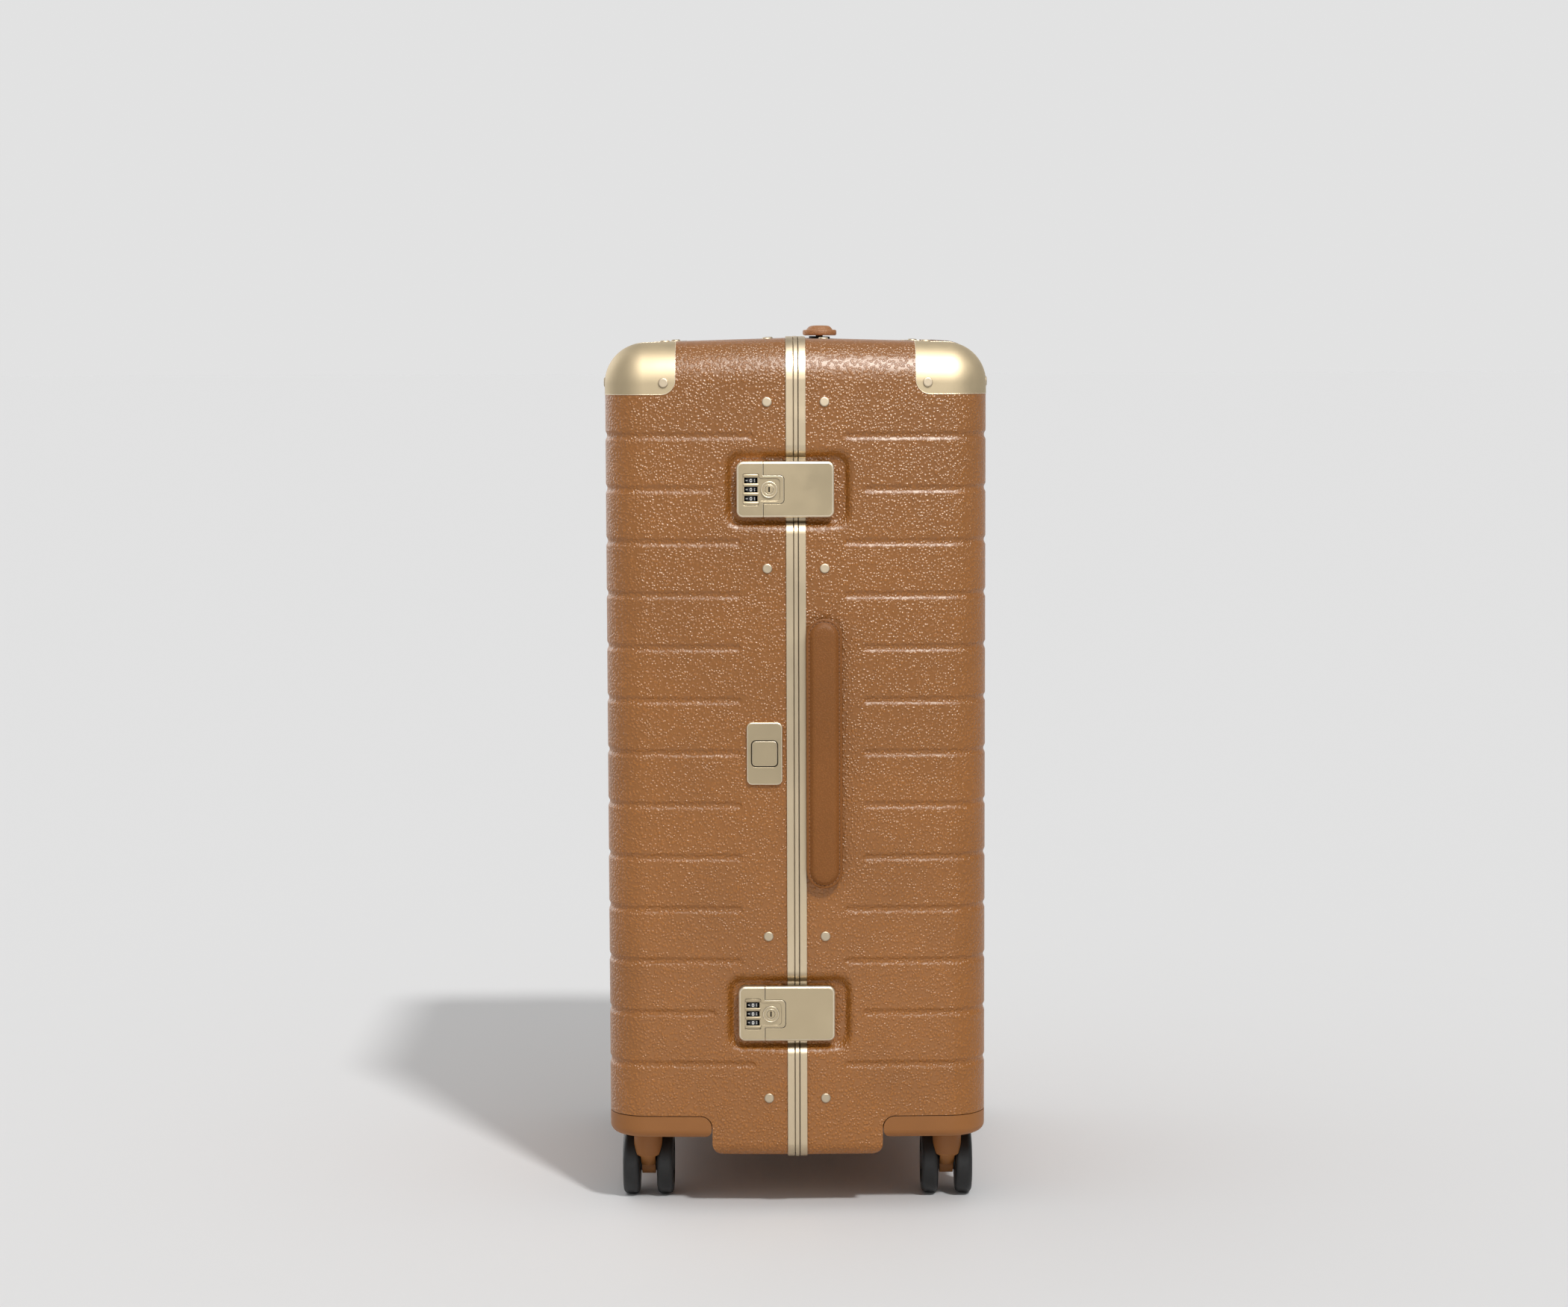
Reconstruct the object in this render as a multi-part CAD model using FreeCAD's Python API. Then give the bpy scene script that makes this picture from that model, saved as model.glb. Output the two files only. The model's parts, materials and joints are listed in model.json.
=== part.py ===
import FreeCAD, Part
import math
import os

from FreeCAD import Matrix, Placement, Vector

# A tall trunk suitcase standing on four twin-wheel casters, in millimetres.
# +X points from the lid half to the base half, the latch side faces -Y, +Z is up.
# The origin is on the floor, under the middle of the whole case.

# Used all through the source
PICK = 0.1                  # how closely an edge has to lie to a place to be picked there
MARGIN = 1.0                # slack round a region of edges, and how far cutters pass a face
ALONG = 0.99                # cosine above which an edge counts as running along an axis

# Case body, measured at the seam between the two halves
WIDTH = 342.0               # across both halves, wide face to wide face
DEPTH = 420.0               # front wall to back wall
BODY_TOP = 788.7            # top skin above the floor
BODY_BOTTOM = 50.0          # underside between the casters
WALL = 3.2                  # shell wall
PANEL_X = 20.0              # seams between the panels of the lid shell, from the wide face
PANEL_Y = 22.0              # seams between its panels, from the front and back walls
DRAFT_DEG = 1.6             # lean of the front, back and top walls away from the seam
EDGE_R = 36.0               # upright edges and top edges
BOTTOM_R = 12.0             # bottom edges
MID_DROP = 0.95             # the pattern of grooves and fittings is centred this much below mid height

# Metal frame round the seam: offsets are measured outwards from the shell's skin
BAND_X = 8.8                # outer edge of each metal band, from the seam plane
BAND_SEAM_X = 2.5           # seam face of each metal band, from the seam plane
BAND_PROUD = 1.3            # band face above the skin
BAND_T = 1.1                # metal of the band and its web
RIM_GAP = 0.3               # shell rim to the web of the frame
FLANGE_X = 30.5             # edge of the flange inside the shell
FLANGE_T = 1.6              # flange metal
FLANGE_GAP = 0.1            # inner skin to flange, at the flange's edge in the rounded corners
BEAD_HALF = 1.7             # half width of the bead that shows between the bands
BEAD_PROUD = 1.6            # bead face above the skin
BEAD_NECK = 1.5             # depth below the skin at which the bead widens to its root
BEAD_GAP = 0.3              # bead root to the base frame

# Grooves moulded round each shell
GROOVE_COUNT = 13
GROOVE_PITCH = 47.3
GROOVE_DEPTH = 1.4
GROOVE_HALF = 5.2           # half width between the lips
GROOVE_LIP = 0.06           # height at which the cutter leaves the skin
GROOVE_REACH = 6.0          # how far the cutter stands out of the skin
GROOVE_END = 52.4           # where most grooves of the lid stop, from the seam plane
GROOVE_END_OUTER = 40.5     # where the lid's top and bottom grooves stop
GROOVE_END_LOCK = 76.0      # where the lid's grooves beside the locks stop
GROOVE_END_BASE = 46.0      # where most grooves of the base stop
GROOVE_END_HANDLE = 63.0    # where the base's grooves beside the handle and the locks stop
HANDLE_GROOVES = 2          # grooves shortened on each side of the middle one, for the handle
LOCK_GROOVES = 5            # the locks sit this many grooves above and below the middle

# Pockets that the locks sit in
POCKET_LID = 64.7           # edge of the pocket in the lid, from the seam plane
POCKET_BASE = 50.5          # edge of the pocket in the base
POCKET_HALF = 35.5          # half height at the skin
POCKET_DEPTH = 8.5
POCKET_SLOPE = 0.75         # run of the pocket's sides per millimetre of depth
POCKET_R = 15.0             # corners of the pocket
POCKET_LIP_R = 8.0
POCKET_ROOT_R = 3.0
POCKET_REACH = 12.0         # how far the pocket's cutter stands out of the skin

# Rivets
RIVET_R = 4.4               # head
RIVET_H = 1.5               # head height
RIVET_DOME_R = 1.2          # rounding of the head
RIVET_SHANK_R = 1.9
RIVET_FIT = 0.05            # shank to hole
RIVET_X = 25.6              # rows along the frame, from the seam plane
RIVET_Z_NEAR = 166.0        # from the pattern's middle
RIVET_END = 55.15           # outer rivets from the ends of the body, before the pattern's drop
RIVET_Y = 135.0             # rows on top and bottom, from the middle of the depth

# Corner caps on the four top corners
CAP_X = 64.0                # reach along the front from the wide face
CAP_Y = 64.0                # reach along the wide face
CAP_Z = 49.5                # reach down from the top skin
CAP_R = 13.0                # rounded corner of each cap face
CAP_T = 1.2
CAP_PROUD = 0.2             # cap face above the skin
CAP_GAP = 0.15              # cap to the floor of its recess in the shell
CAP_EDGE_GAP = 0.25         # cap to the edges of its recess
CAP_RIVET = 10.5            # rivet centre from the cap's edges

# Casters
WHEEL_R = 30.0
WHEEL_W = 15.2
WHEEL_EDGE_R = 4.5
WHEEL_SPLIT = 16.0          # between the two wheels of a caster
WHEEL_BOSS_R = 9.0
WHEEL_BOSS_GAP = 0.4        # wheel boss to fork
WHEEL_DISH_R = 22.0         # hollow in the outer face of a wheel
WHEEL_DISH = 2.0
WHEEL_CAP = 2.0             # wheel left outside the end of the axle
AXLE_R = 3.0
AXLE_FIT = 0.05
AXLE_END_GAP = 0.3
TRAIL = 20.0                # axle behind the swivel
CASTER_X = 33.5             # swivel from the wide face
CASTER_Y = 50.0             # swivel from the front or back wall
SWIVEL_R = 6.0
SWIVEL_FIT = 0.05
SWIVEL_LEN = 15.0
FORK_R = 13.0               # head of the fork
FORK_HALF = 6.2             # half width of the blade between the wheels
FORK_BLADE = 10.4           # reach of the blade in front of and behind the swivel
FORK_HUB_R = 11.5
FORK_HEAD_DROP = 23.7       # height of the head
FORK_TAPER = 13.0           # height over which the head narrows to the blade
FORK_SHIFT = 9.0            # how far the taper leans towards the axle
FORK_WHEEL_GAP = 0.8        # fork to tread
FORK_TOP_GAP = 0.5          # fork head to housing

# Wheel housings at the bottom corners
HOUSING_OVER_WHEEL = 6.6    # underside above the top of the wheels
HOUSING_H = 19.9
HOUSING_GAP = 0.8           # parting line to the shell
HOUSING_SEAT = 0.2          # land on the housing to the shell above it
HOUSING_LAND_IN = 9.0       # land from the outer walls
HOUSING_PLAN_R = 30.0       # inner upright corner
HOUSING_TOP_R = 10.0        # rounded top of the inner end
HOUSING_EDGE_R = 7.5        # lower outer edge
SWING_GAP = 4.4             # swinging wheel to the wall of the wheel arch
ARCH_FLARE = 12.0           # rounded lower edge of the wheel arch
ARCH_BELOW = 0.2            # flare stops this far below the underside
BLOCK_REACH = 20.0          # how far corner cutters stand out of the body

# Locks, one above and one below the middle, on the lid
LOCK_PROUD = 2.0            # face above the skin
LOCK_HALF = 25.0            # half height
LOCK_OUT_X = 53.0           # outer end, from the seam plane
LOCK_SPLIT_X = 29.0         # line between lock body and flap
LOCK_TAIL_X = 9.6           # end of the plate under the flap
LOCK_TAIL_T = 2.9
LOCK_R = 6.0
LOCK_EDGE_R = 2.2           # rounded edges of the lock and the flap
LOCK_SPLIT_R = 0.4          # edges along the split and round the key block
KEY_X = 23.8
KEY_END_X = 10.7            # end of the block round the key cylinder
KEY_HALF = 12.5             # half height of that block
KEY_BLOCK_R = 3.5
KEY_RING_R = 7.3
KEY_RING_H = 0.5
KEY_R = 3.65
KEY_FIT = 0.05
KEY_PROUD = 0.3             # cylinder above the ring
KEY_DEPTH = 6.0             # cylinder below the lock face
KEYWAY_L = 5.0
KEYWAY_W = 1.1
KEYWAY_DEPTH = 3.0
DIAL_X = 40.0
DIAL_R = 6.5
DIAL_W = 4.8
DIAL_PITCH = 8.07
DIAL_COUNT = 3
DIAL_SUNK = 0.4             # dial face below the lock face
DIAL_BORE_FIT = 0.05
DIAL_SHAFT_R = 1.5
DIAL_GAP = 0.5              # dial to the walls of its chamber
DIAL_EDGE = 0.5             # chamfer of the dial's rim
WINDOW_L = 14.7             # sunk panel round the dials
WINDOW_HALF = 14.2
WINDOW_SINK = 0.7
PANEL_END_X = 14.2          # end of the sunk panel round the key cylinder, from the seam plane
PANEL_HALF = 10.2           # half height of the sunk panel there
PANEL_R = 1.8               # corners of the sunk panel
PANEL_END_R = 3.5           # its corners beside the flap
SLOT_L = 11.8               # slots the dials show through
SLOT_W = 5.2
LOCK_SKIN = 1.0             # metal left between the sunk panel and the dial chamber
LOCK_BACK_WALL = 1.5        # wall of the dial chamber
LOCK_BACK_LAP = 1.0         # back of the lock runs this far into its front
LOCK_HOLE_GAP = 0.2         # lock to the hole in the shell

# Latch flaps on the base, closing over the locks
FLAP_T = 7.0
FLAP_END_X = 34.2           # rounded hinge end, from the seam plane
FLAP_GAP = 0.4              # flap to lock body and key block
FLAP_PIN_R = 1.25
FLAP_PIN_FIT = 0.05
FLAP_PIN_HALF = 22.0
EAR_Z = 14.0                # ears of the bracket, from the middle of the flap
EAR_T = 5.0
EAR_R = 2.2
EAR_HALF = 1.4              # half width of the ear below its eye
EAR_GAP = 0.4
FLAP_SKIN = 1.1             # flap left over the ears
FLAP_R = 6.0
FLAP_HEEL_R = 1.0           # edges of the flap's underside
BRACKET_X = 9.6             # inner end of the bracket plate
BRACKET_T = 1.9
BRACKET_HALF = 20.0
BRACKET_PAST = 3.5          # plate past the pin

# Centre catch on the lid
CATCH_X = 28.6
CATCH_W = 32.1
CATCH_H = 56.4
CATCH_T = 3.0
CATCH_R = 5.0
CATCH_EDGE_R = 1.2
BUTTON_W = 22.4             # square push button
BUTTON_R = 3.4
BUTTON_EDGE_R = 0.4
BUTTON_GAP = 1.0
BUTTON_SUNK = 0.2           # button face below the plate face
BUTTON_T = 6.0
BUTTON_TRAVEL = 2.5
BUTTON_END_GAP = 1.0        # left behind the pressed button
CATCH_CUP_WALL = 1.4
CATCH_CUP_GAP = 0.2         # cup to the hole in the shell
STEM_R = 3.0
STEM_FIT = 0.05
STEM_GUIDE = 4.0            # length of the guide behind the cup
STEM_WALL = 1.6

# Carrying handles on the base, sliding out on two legs each
HANDLE_GAP = 2.4            # strap to skin
HANDLE_T = 9.2              # strap and pad together
HANDLE_FLANGE = 4.8         # stitched edge
HANDLE_EDGE_R = 1.1
HANDLE_MARGIN = 5.0         # stitched edge, width outside the pad
HANDLE_PAD_R = 3.4          # rounding of the pad
SIDE_HANDLE_X = 24.8
SIDE_HANDLE_L = 243.0
SIDE_HANDLE_W = 32.4
SIDE_LEG = 95.0             # legs from the middle of the handle
TOP_HANDLE_X = 23.2
TOP_HANDLE_L = 205.0
TOP_HANDLE_W = 30.0
TOP_LEG = 76.0
LEG_T = 5.0
LEG_W = 14.0
LEG_IN = 29.0               # leg inside the skin
LEG_FIT = 0.1
GUIDE_WALL = 1.8
GUIDE_IN = 31.0             # guide inside the skin
GUIDE_PROUD = 0.4
PLATE_HALF = 9.0            # half width of the base plate under each handle
PLATE_PAST = 13.0           # plate past the legs
PLATE_T = 1.9
PLATE_GAP = 0.1             # plate to skin
GUIDE_HOLE_GAP = 0.2
HANDLE_HOLE_GAP = 0.5       # frame flange round the guides and the catch

# Pull handle, sunk into the top of the base near the wide face
PULL_X = 30.0               # middle of the handle from the wide face
CUP_LIP_HALF = 19.0         # half width of the lip on the skin
CUP_LIP_L = 104.0           # half length of the lip
CUP_LIP_T = 1.2
CUP_LIP_GAP = 0.1
CUP_HALF = 15.0             # half width of the well
CUP_L = 98.0                # half length of the well
CUP_WALL = 1.6
CUP_FLOOR = 43.7            # top of the well's floor below the top skin
CUP_FLOOR_T = 3.0
CUP_R = 8.0
CUP_HOLE_GAP = 0.2
GRIP_GAP = 0.6              # grip to the well
GRIP_SUNK = 0.4             # grip below the lip
GRIP_UNDER = 12.0           # free height under the grip
ROD_Y = 80.0
ROD_X_HALF = 6.0
ROD_Y_HALF = 8.0
ROD_WALL = 1.2
ROD_R = 3.0
ROD_INNER_R = 0.8           # least rounding inside a rod
ROD_FIT = 0.1
ROD_BOTTOM = 140.0          # lower end of the rods above the floor
TUBE_WALL = 1.3
TUBE_BOTTOM = 115.0
PULL_BUTTON_X = 6.0         # half width
PULL_BUTTON_Y = 17.0        # half length
PULL_BUTTON_T = 11.0
PULL_BUTTON_GAP = 0.3
PULL_BUTTON_PROUD = 0.4     # above the grip
PULL_BUTTON_TRAVEL = 3.0
PULL_BUTTON_R = 3.0

# Hinges between the halves, on the back
HINGE_Z = 240.0             # outer hinges from the middle one
HINGE_L = 60.0
HINGE_OUT = 5.6             # hinge axis behind the back skin
KNUCKLE_R = 3.2
KNUCKLES = 3                # knuckles of each hinge
HINGE_PIN_R = 1.5
HINGE_PIN_FIT = 0.05
KNUCKLE_GAP = 0.3
LEAF_T = 2.0
LEAF_X = 30.0
LEAF_R = 3.0
LEAF_SEAM_X = 3.8           # plate edge beside the knuckles
LEAF_TAB_LIFT = 0.5         # knuckle tab above the bead
LEAF_RIVET_X = 20.0
LEAF_RIVET_Z = 19.0

# Lining
LINING_T = 1.2
LINING_R = 27.4             # outer corners of the linings
LINING_BACK_R = 3.0         # edge of the base lining's back panel
LINING_PANEL = 30.0         # seams of the base lining's front and back panels, from the walls at the seam plane
LINING_GAP = 0.3            # lining to the frame flange that its edge lies behind
LINING_LAP = 1.0            # how far the edge lies behind the flange
LINING_CLEAR = 0.6          # lining to the backs of the locks
LINING_HOLE_GAP = 0.6       # lining round the catch and the handle guides
LINING_TUBE_GAP = 5.0       # base lining to the pull handle's well

# Worked out from the sizes above
LID = -1
BASE = 1
FRONT = -1
REAR = 1
SLOPE = math.tan(math.radians(DRAFT_DEG))
DRAFT_SIN = math.sin(math.radians(DRAFT_DEG))
DRAFT_COS = math.cos(math.radians(DRAFT_DEG))
UP = Vector(0, 0, 1)
HALF_WIDTH = WIDTH / 2
CENTRE_Y = (HANDLE_GAP + HANDLE_T - HINGE_OUT - KNUCKLE_R) / 2
FRONT_Y = CENTRE_Y - DEPTH / 2
BACK_Y = CENTRE_Y + DEPTH / 2
MID_Z = (BODY_TOP + BODY_BOTTOM) / 2 - MID_DROP
RIM_X = BAND_SEAM_X + BAND_T + RIM_GAP
FLANGE_OFFSET = WALL + math.sqrt(2) * FLANGE_X * SLOPE + FLANGE_GAP
FLANGE_IN = FLANGE_OFFSET + FLANGE_T
RIVET_Z_FAR = (BODY_TOP - BODY_BOTTOM) / 2 - RIVET_END
LOCK_Z = {"upper": MID_Z + LOCK_GROOVES * GROOVE_PITCH, "lower": MID_Z - LOCK_GROOVES * GROOVE_PITCH}
FLOOR_Y = FRONT_Y + POCKET_DEPTH
LOCK_H = POCKET_DEPTH + LOCK_PROUD
DIAL_AXIS_H = LOCK_H - DIAL_SUNK - DIAL_R
LOCK_BACK = DIAL_R + DIAL_GAP + LOCK_BACK_WALL - DIAL_AXIS_H
LINING_INSET = max(FLANGE_IN + LINING_GAP, LOCK_BACK + LINING_CLEAR)
LINING_X = FLANGE_X - LINING_LAP
FLAP_PIN_X = FLAP_END_X - FLAP_T / 2
FLAP_PIN_H = LOCK_H - FLAP_T / 2
SWIVEL_X = HALF_WIDTH - CASTER_X
HOUSING_BOTTOM = 2 * WHEEL_R + HOUSING_OVER_WHEEL
HOUSING_TOP = HOUSING_BOTTOM + HOUSING_H
TWIN_HALF = WHEEL_SPLIT / 2 + WHEEL_W
WHEEL_SWING = math.hypot(TRAIL + WHEEL_R, TWIN_HALF)
ARCH_X = SWIVEL_X - WHEEL_SWING - SWING_GAP
ARCH_Y = CASTER_Y + WHEEL_SWING + SWING_GAP
PULL_CENTRE_X = HALF_WIDTH - PULL_X
CUP_FLOOR_Z = BODY_TOP - CUP_FLOOR
BUTTON_HOLE = BUTTON_W + 2 * BUTTON_GAP
CUP_DEPTH = BUTTON_T + BUTTON_SUNK + BUTTON_TRAVEL + BUTTON_END_GAP - CATCH_T
CATCH_CUP = BUTTON_HOLE + 2 * CATCH_CUP_WALL
CATCH_BACK = CUP_DEPTH + CATCH_CUP_WALL + STEM_GUIDE
HINGE_Y = BACK_Y + HINGE_OUT
HINGE_HEIGHTS = (MID_Z - HINGE_Z, MID_Z, MID_Z + HINGE_Z)
KNUCKLE_L = HINGE_L / KNUCKLES


def drop(x):
    """How far the front, back and top walls have leaned in at a distance from the seam plane."""
    return abs(x) * SLOPE


def box(x0, x1, y0, y1, z0, z1):
    """A block between two corners, with each pair of limits in either order."""
    low = Vector(min(x0, x1), min(y0, y1), min(z0, z1))
    return Part.makeBox(abs(x1 - x0), abs(y1 - y0), abs(z1 - z0), low)


def rounded_box(limits, radius, axis):
    """A block whose four edges along an axis are rounded."""
    block = box(*limits)
    edges = [e for e in block.Edges if abs(e.tangentAt(e.FirstParameter).dot(axis)) > ALONG]
    return block.makeFillet(radius, edges)


def edges_where(shape, test):
    """The edges whose bounding box passes a test."""
    return [edge for edge in shape.Edges if test(edge.BoundBox)]


def rounded_path(points, radii, closed):
    """Straight runs through points, with each corner rounded by its radius, as a list of edges."""
    count = len(points)
    corners = []
    for i, corner in enumerate(points):
        if not closed and i in (0, count - 1):
            corners.append((corner, None, corner))
            continue
        arriving = (corner - points[i - 1]).normalize()
        leaving = (points[(i + 1) % count] - corner).normalize()
        half_turn = arriving.getAngle(leaving) / 2
        reach = radii[i] * math.tan(half_turn)
        inward = (leaving - arriving).normalize()
        middle = corner + inward * (radii[i] / math.cos(half_turn) - radii[i])
        corners.append((corner - arriving * reach, middle, corner + leaving * reach))
    edges = []
    for i, (start, middle, end) in enumerate(corners):
        if middle is not None:
            edges.append(Part.Arc(start, middle, end).toShape())
        if closed or i < count - 1:
            following = corners[(i + 1) % count][0]
            edges.append(Part.LineSegment(end, following).toShape())
    return edges


def on_wall(side, wall, x, along, lift=0.0):
    """Place on the outer skin of a shell: local Z points out of the wall, x is from the seam plane."""
    if wall == "front":
        across, up = Vector(DRAFT_COS, side * DRAFT_SIN, 0), UP
        point = Vector(side * x, FRONT_Y + drop(x), along)
    elif wall == "back":
        across, up = Vector(-DRAFT_COS, side * DRAFT_SIN, 0), UP
        point = Vector(side * x, BACK_Y - drop(x), along)
    elif wall == "top":
        across, up = Vector(DRAFT_COS, 0, -side * DRAFT_SIN), Vector(0, 1, 0)
        point = Vector(side * x, along, BODY_TOP - drop(x))
    else:
        across, up = Vector(-1, 0, 0), Vector(0, 1, 0)
        point = Vector(side * x, along, BODY_BOTTOM)
    return placed(point, across, up, lift)


def placed(point, across, up, lift=0.0):
    """Placement with local X along across, local Y along up, moved out along local Z by lift."""
    out = across.cross(up)
    point = point + out * lift
    return Placement(Matrix(across.x, up.x, out.x, point.x,
                            across.y, up.y, out.y, point.y,
                            across.z, up.z, out.z, point.z, 0, 0, 0, 1))


def moved(shape, placement):
    """A copy of a shape made in local coordinates, put at a placement."""
    copy = shape.copy()
    copy.Placement = placement.multiply(copy.Placement)
    return copy


def flat_sided(near, far):
    """A solid between two four-cornered rings, with flat sides."""
    rings = [near, far[::-1]]
    rings += [[near[i], near[i - 1], far[i - 1], far[i]] for i in range(len(near))]
    faces = [Part.Face(Part.makePolygon(ring + ring[:1])) for ring in rings]
    solid = Part.Solid(Part.Shell(faces))
    return solid if solid.Volume > 0 else flat_sided(near[::-1], far[::-1])


def shell_block(side, inset, x_in=RIM_X, x_out=None, edge_r=EDGE_R, back_r=None):
    """One half of the case as a solid tray shape, all its walls moved in by inset.

    The rounding of its upper edges is given at the skin, and that of its back, where it differs, as it is.
    """
    x_out = HALF_WIDTH - inset if x_out is None else x_out
    rings = []
    for x in (x_in, x_out):
        y0 = FRONT_Y + drop(x) + inset
        y1 = BACK_Y - drop(x) - inset
        z0 = BODY_BOTTOM + inset
        z1 = BODY_TOP - drop(x) - inset
        corners = [(y0, z0), (y1, z0), (y1, z1), (y0, z1)]
        rings.append([Vector(-x, y, z) for y, z in corners])
    block = flat_sided(*rings)
    floor_z = BODY_BOTTOM + inset + MARGIN

    def off_seam(bb):
        own_back = back_r is not None and bb.XLength < PICK
        return bb.Center.x < -x_in - MARGIN and not own_back

    def upper(bb):
        return off_seam(bb) and bb.ZMax > floor_z

    def lower(bb):
        return off_seam(bb) and bb.ZMax < floor_z

    def back(bb):
        return bb.XMax < -x_out + PICK

    block = block.makeFillet(edge_r - inset, edges_where(block, upper))
    block = block.makeFillet(BOTTOM_R - inset, edges_where(block, lower))
    if back_r is not None:
        block = block.makeFillet(back_r, edges_where(block, back))
    return block if side == LID else block.mirror(Vector(0, 0, 0), Vector(1, 0, 0))


def pocket(centre_z, grow=0.0):
    """What a lock pocket takes out of the front walls, grown on all sides for the boss behind it."""
    rings = []
    for depth in (-POCKET_REACH, POCKET_DEPTH + grow):
        spread = grow * math.hypot(1, POCKET_SLOPE) - depth * POCKET_SLOPE
        x0 = -POCKET_LID - spread
        x1 = POCKET_BASE + spread
        z0 = centre_z - POCKET_HALF - spread
        z1 = centre_z + POCKET_HALF + spread
        y = FRONT_Y + depth
        rings.append([Vector(x0, y, z0), Vector(x1, y, z0), Vector(x1, y, z1), Vector(x0, y, z1)])
    block = flat_sided(*rings)
    return block.makeFillet(POCKET_R + grow, edges_where(block, lambda bb: bb.YLength > POCKET_REACH))


def arch_block(side, end, grow, z0, z1):
    """The corner that a wheel housing and its arch take up, grown on its inner sides and top."""
    wall_y = FRONT_Y if end == FRONT else BACK_Y
    inner_x = side * (ARCH_X - grow)
    inner_y = wall_y - end * (ARCH_Y + grow)
    outer_x = side * (HALF_WIDTH + BLOCK_REACH)
    outer_y = wall_y + end * BLOCK_REACH
    block = box(inner_x, outer_x, inner_y, outer_y, z0, z1 + grow)

    def inner_upright(bb):
        return abs(bb.Center.x - inner_x) < PICK and abs(bb.Center.y - inner_y) < PICK

    def inner_top(bb):
        outer_side = abs(bb.Center.x - outer_x) < PICK or abs(bb.Center.y - outer_y) < PICK
        return bb.ZMin > z1 + grow - PICK and not outer_side

    block = block.makeFillet(HOUSING_PLAN_R + grow, edges_where(block, inner_upright))
    return block.makeFillet(HOUSING_TOP_R + grow, edges_where(block, inner_top))


def arch_cutter(side, end, grow):
    """A wheel arch with its rounded lower edge, grown for the boss inside the shell."""
    z0 = BODY_BOTTOM - BLOCK_REACH
    block = arch_block(side, end, grow, z0, HOUSING_TOP)
    flare_z = BODY_BOTTOM - ARCH_BELOW + grow
    wall_y = FRONT_Y if end == FRONT else BACK_Y
    skirt_x = side * (ARCH_X - ARCH_FLARE)
    skirt_y = wall_y - end * (ARCH_Y + ARCH_FLARE)
    outer_y = wall_y + end * BLOCK_REACH
    skirt = box(skirt_x, side * (HALF_WIDTH + BLOCK_REACH), skirt_y, outer_y, z0, flare_z)
    cutter = block.fuse(skirt).removeSplitter()

    def root(bb):
        near_x = abs(skirt_x) + MARGIN < abs(bb.Center.x) < HALF_WIDTH
        near_y = abs(bb.Center.y - skirt_y) > MARGIN and abs(bb.Center.y - outer_y) > MARGIN
        return near_x and near_y and abs(bb.ZMin - flare_z) < PICK and abs(bb.ZMax - flare_z) < PICK

    return cutter.makeFillet(ARCH_FLARE - grow - ARCH_BELOW, edges_where(cutter, root))


def groove_section(point, out, half):
    """Section of the groove cutter: a soft S on each side of its bottom, or only its upper half."""
    lean = 2 * math.atan((GROOVE_DEPTH + GROOVE_LIP) / GROOVE_HALF)
    radius = GROOVE_HALF / 2 / math.sin(lean)
    rise = radius * (1 - math.cos(lean / 2))
    run = radius * math.sin(lean / 2)
    turn_height = (GROOVE_LIP - GROOVE_DEPTH) / 2

    def at(height, depth):
        return point + UP * height + out * depth

    bottom = at(0, -GROOVE_DEPTH)
    turn = at(GROOVE_HALF / 2, turn_height)
    lip = at(GROOVE_HALF, GROOVE_LIP)
    lip_arc = Part.Arc(turn, at(GROOVE_HALF - run, GROOVE_LIP - rise), lip).toShape()
    outer = at(GROOVE_HALF, GROOVE_REACH)
    if half:
        top = at(0, GROOVE_REACH)
        edges = [Part.Arc(bottom, at(run, rise - GROOVE_DEPTH), turn).toShape(), lip_arc]
        corners = [lip, outer, top, bottom]
    else:
        low_turn = at(-GROOVE_HALF / 2, turn_height)
        low_lip = at(-GROOVE_HALF, GROOVE_LIP)
        low_middle = at(run - GROOVE_HALF, GROOVE_LIP - rise)
        edges = [Part.Arc(low_lip, low_middle, low_turn).toShape(),
                 Part.Arc(low_turn, bottom, turn).toShape(), lip_arc]
        corners = [lip, outer, at(-GROOVE_HALF, GROOVE_REACH), low_lip]
    edges += [Part.LineSegment(a, b).toShape() for a, b in zip(corners, corners[1:])]
    return Part.Face(Part.Wire(edges))


def groove_cutter(side, front_end, back_end):
    """One groove at height zero, from the front wall round the wide face to the back wall."""
    points = [Vector(side * front_end, FRONT_Y + drop(front_end), 0),
              Vector(side * HALF_WIDTH, FRONT_Y + drop(HALF_WIDTH), 0),
              Vector(side * HALF_WIDTH, BACK_Y - drop(HALF_WIDTH), 0),
              Vector(side * back_end, BACK_Y - drop(back_end), 0)]
    path = rounded_path(points, [0, EDGE_R, EDGE_R, 0], False)
    pieces = []
    for edge in path:
        start = edge.valueAt(edge.FirstParameter)
        out = edge.tangentAt(edge.FirstParameter).cross(UP) * side
        section = groove_section(start, out, False)
        if isinstance(edge.Curve, Part.Circle):
            angle = math.degrees(edge.LastParameter - edge.FirstParameter)
            pieces.append(section.revolve(edge.Curve.Center, edge.Curve.Axis, angle))
        else:
            pieces.append(section.extrude(edge.valueAt(edge.LastParameter) - start))
    for point, wall in ((points[0], FRONT), (points[3], REAR)):
        out = Vector(side * DRAFT_SIN, wall * DRAFT_COS, 0)
        pieces.append(groove_section(point, out, True).revolve(point, out, -wall * side * 180))
    return pieces[0].fuse(pieces[1:]).removeSplitter()


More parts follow.
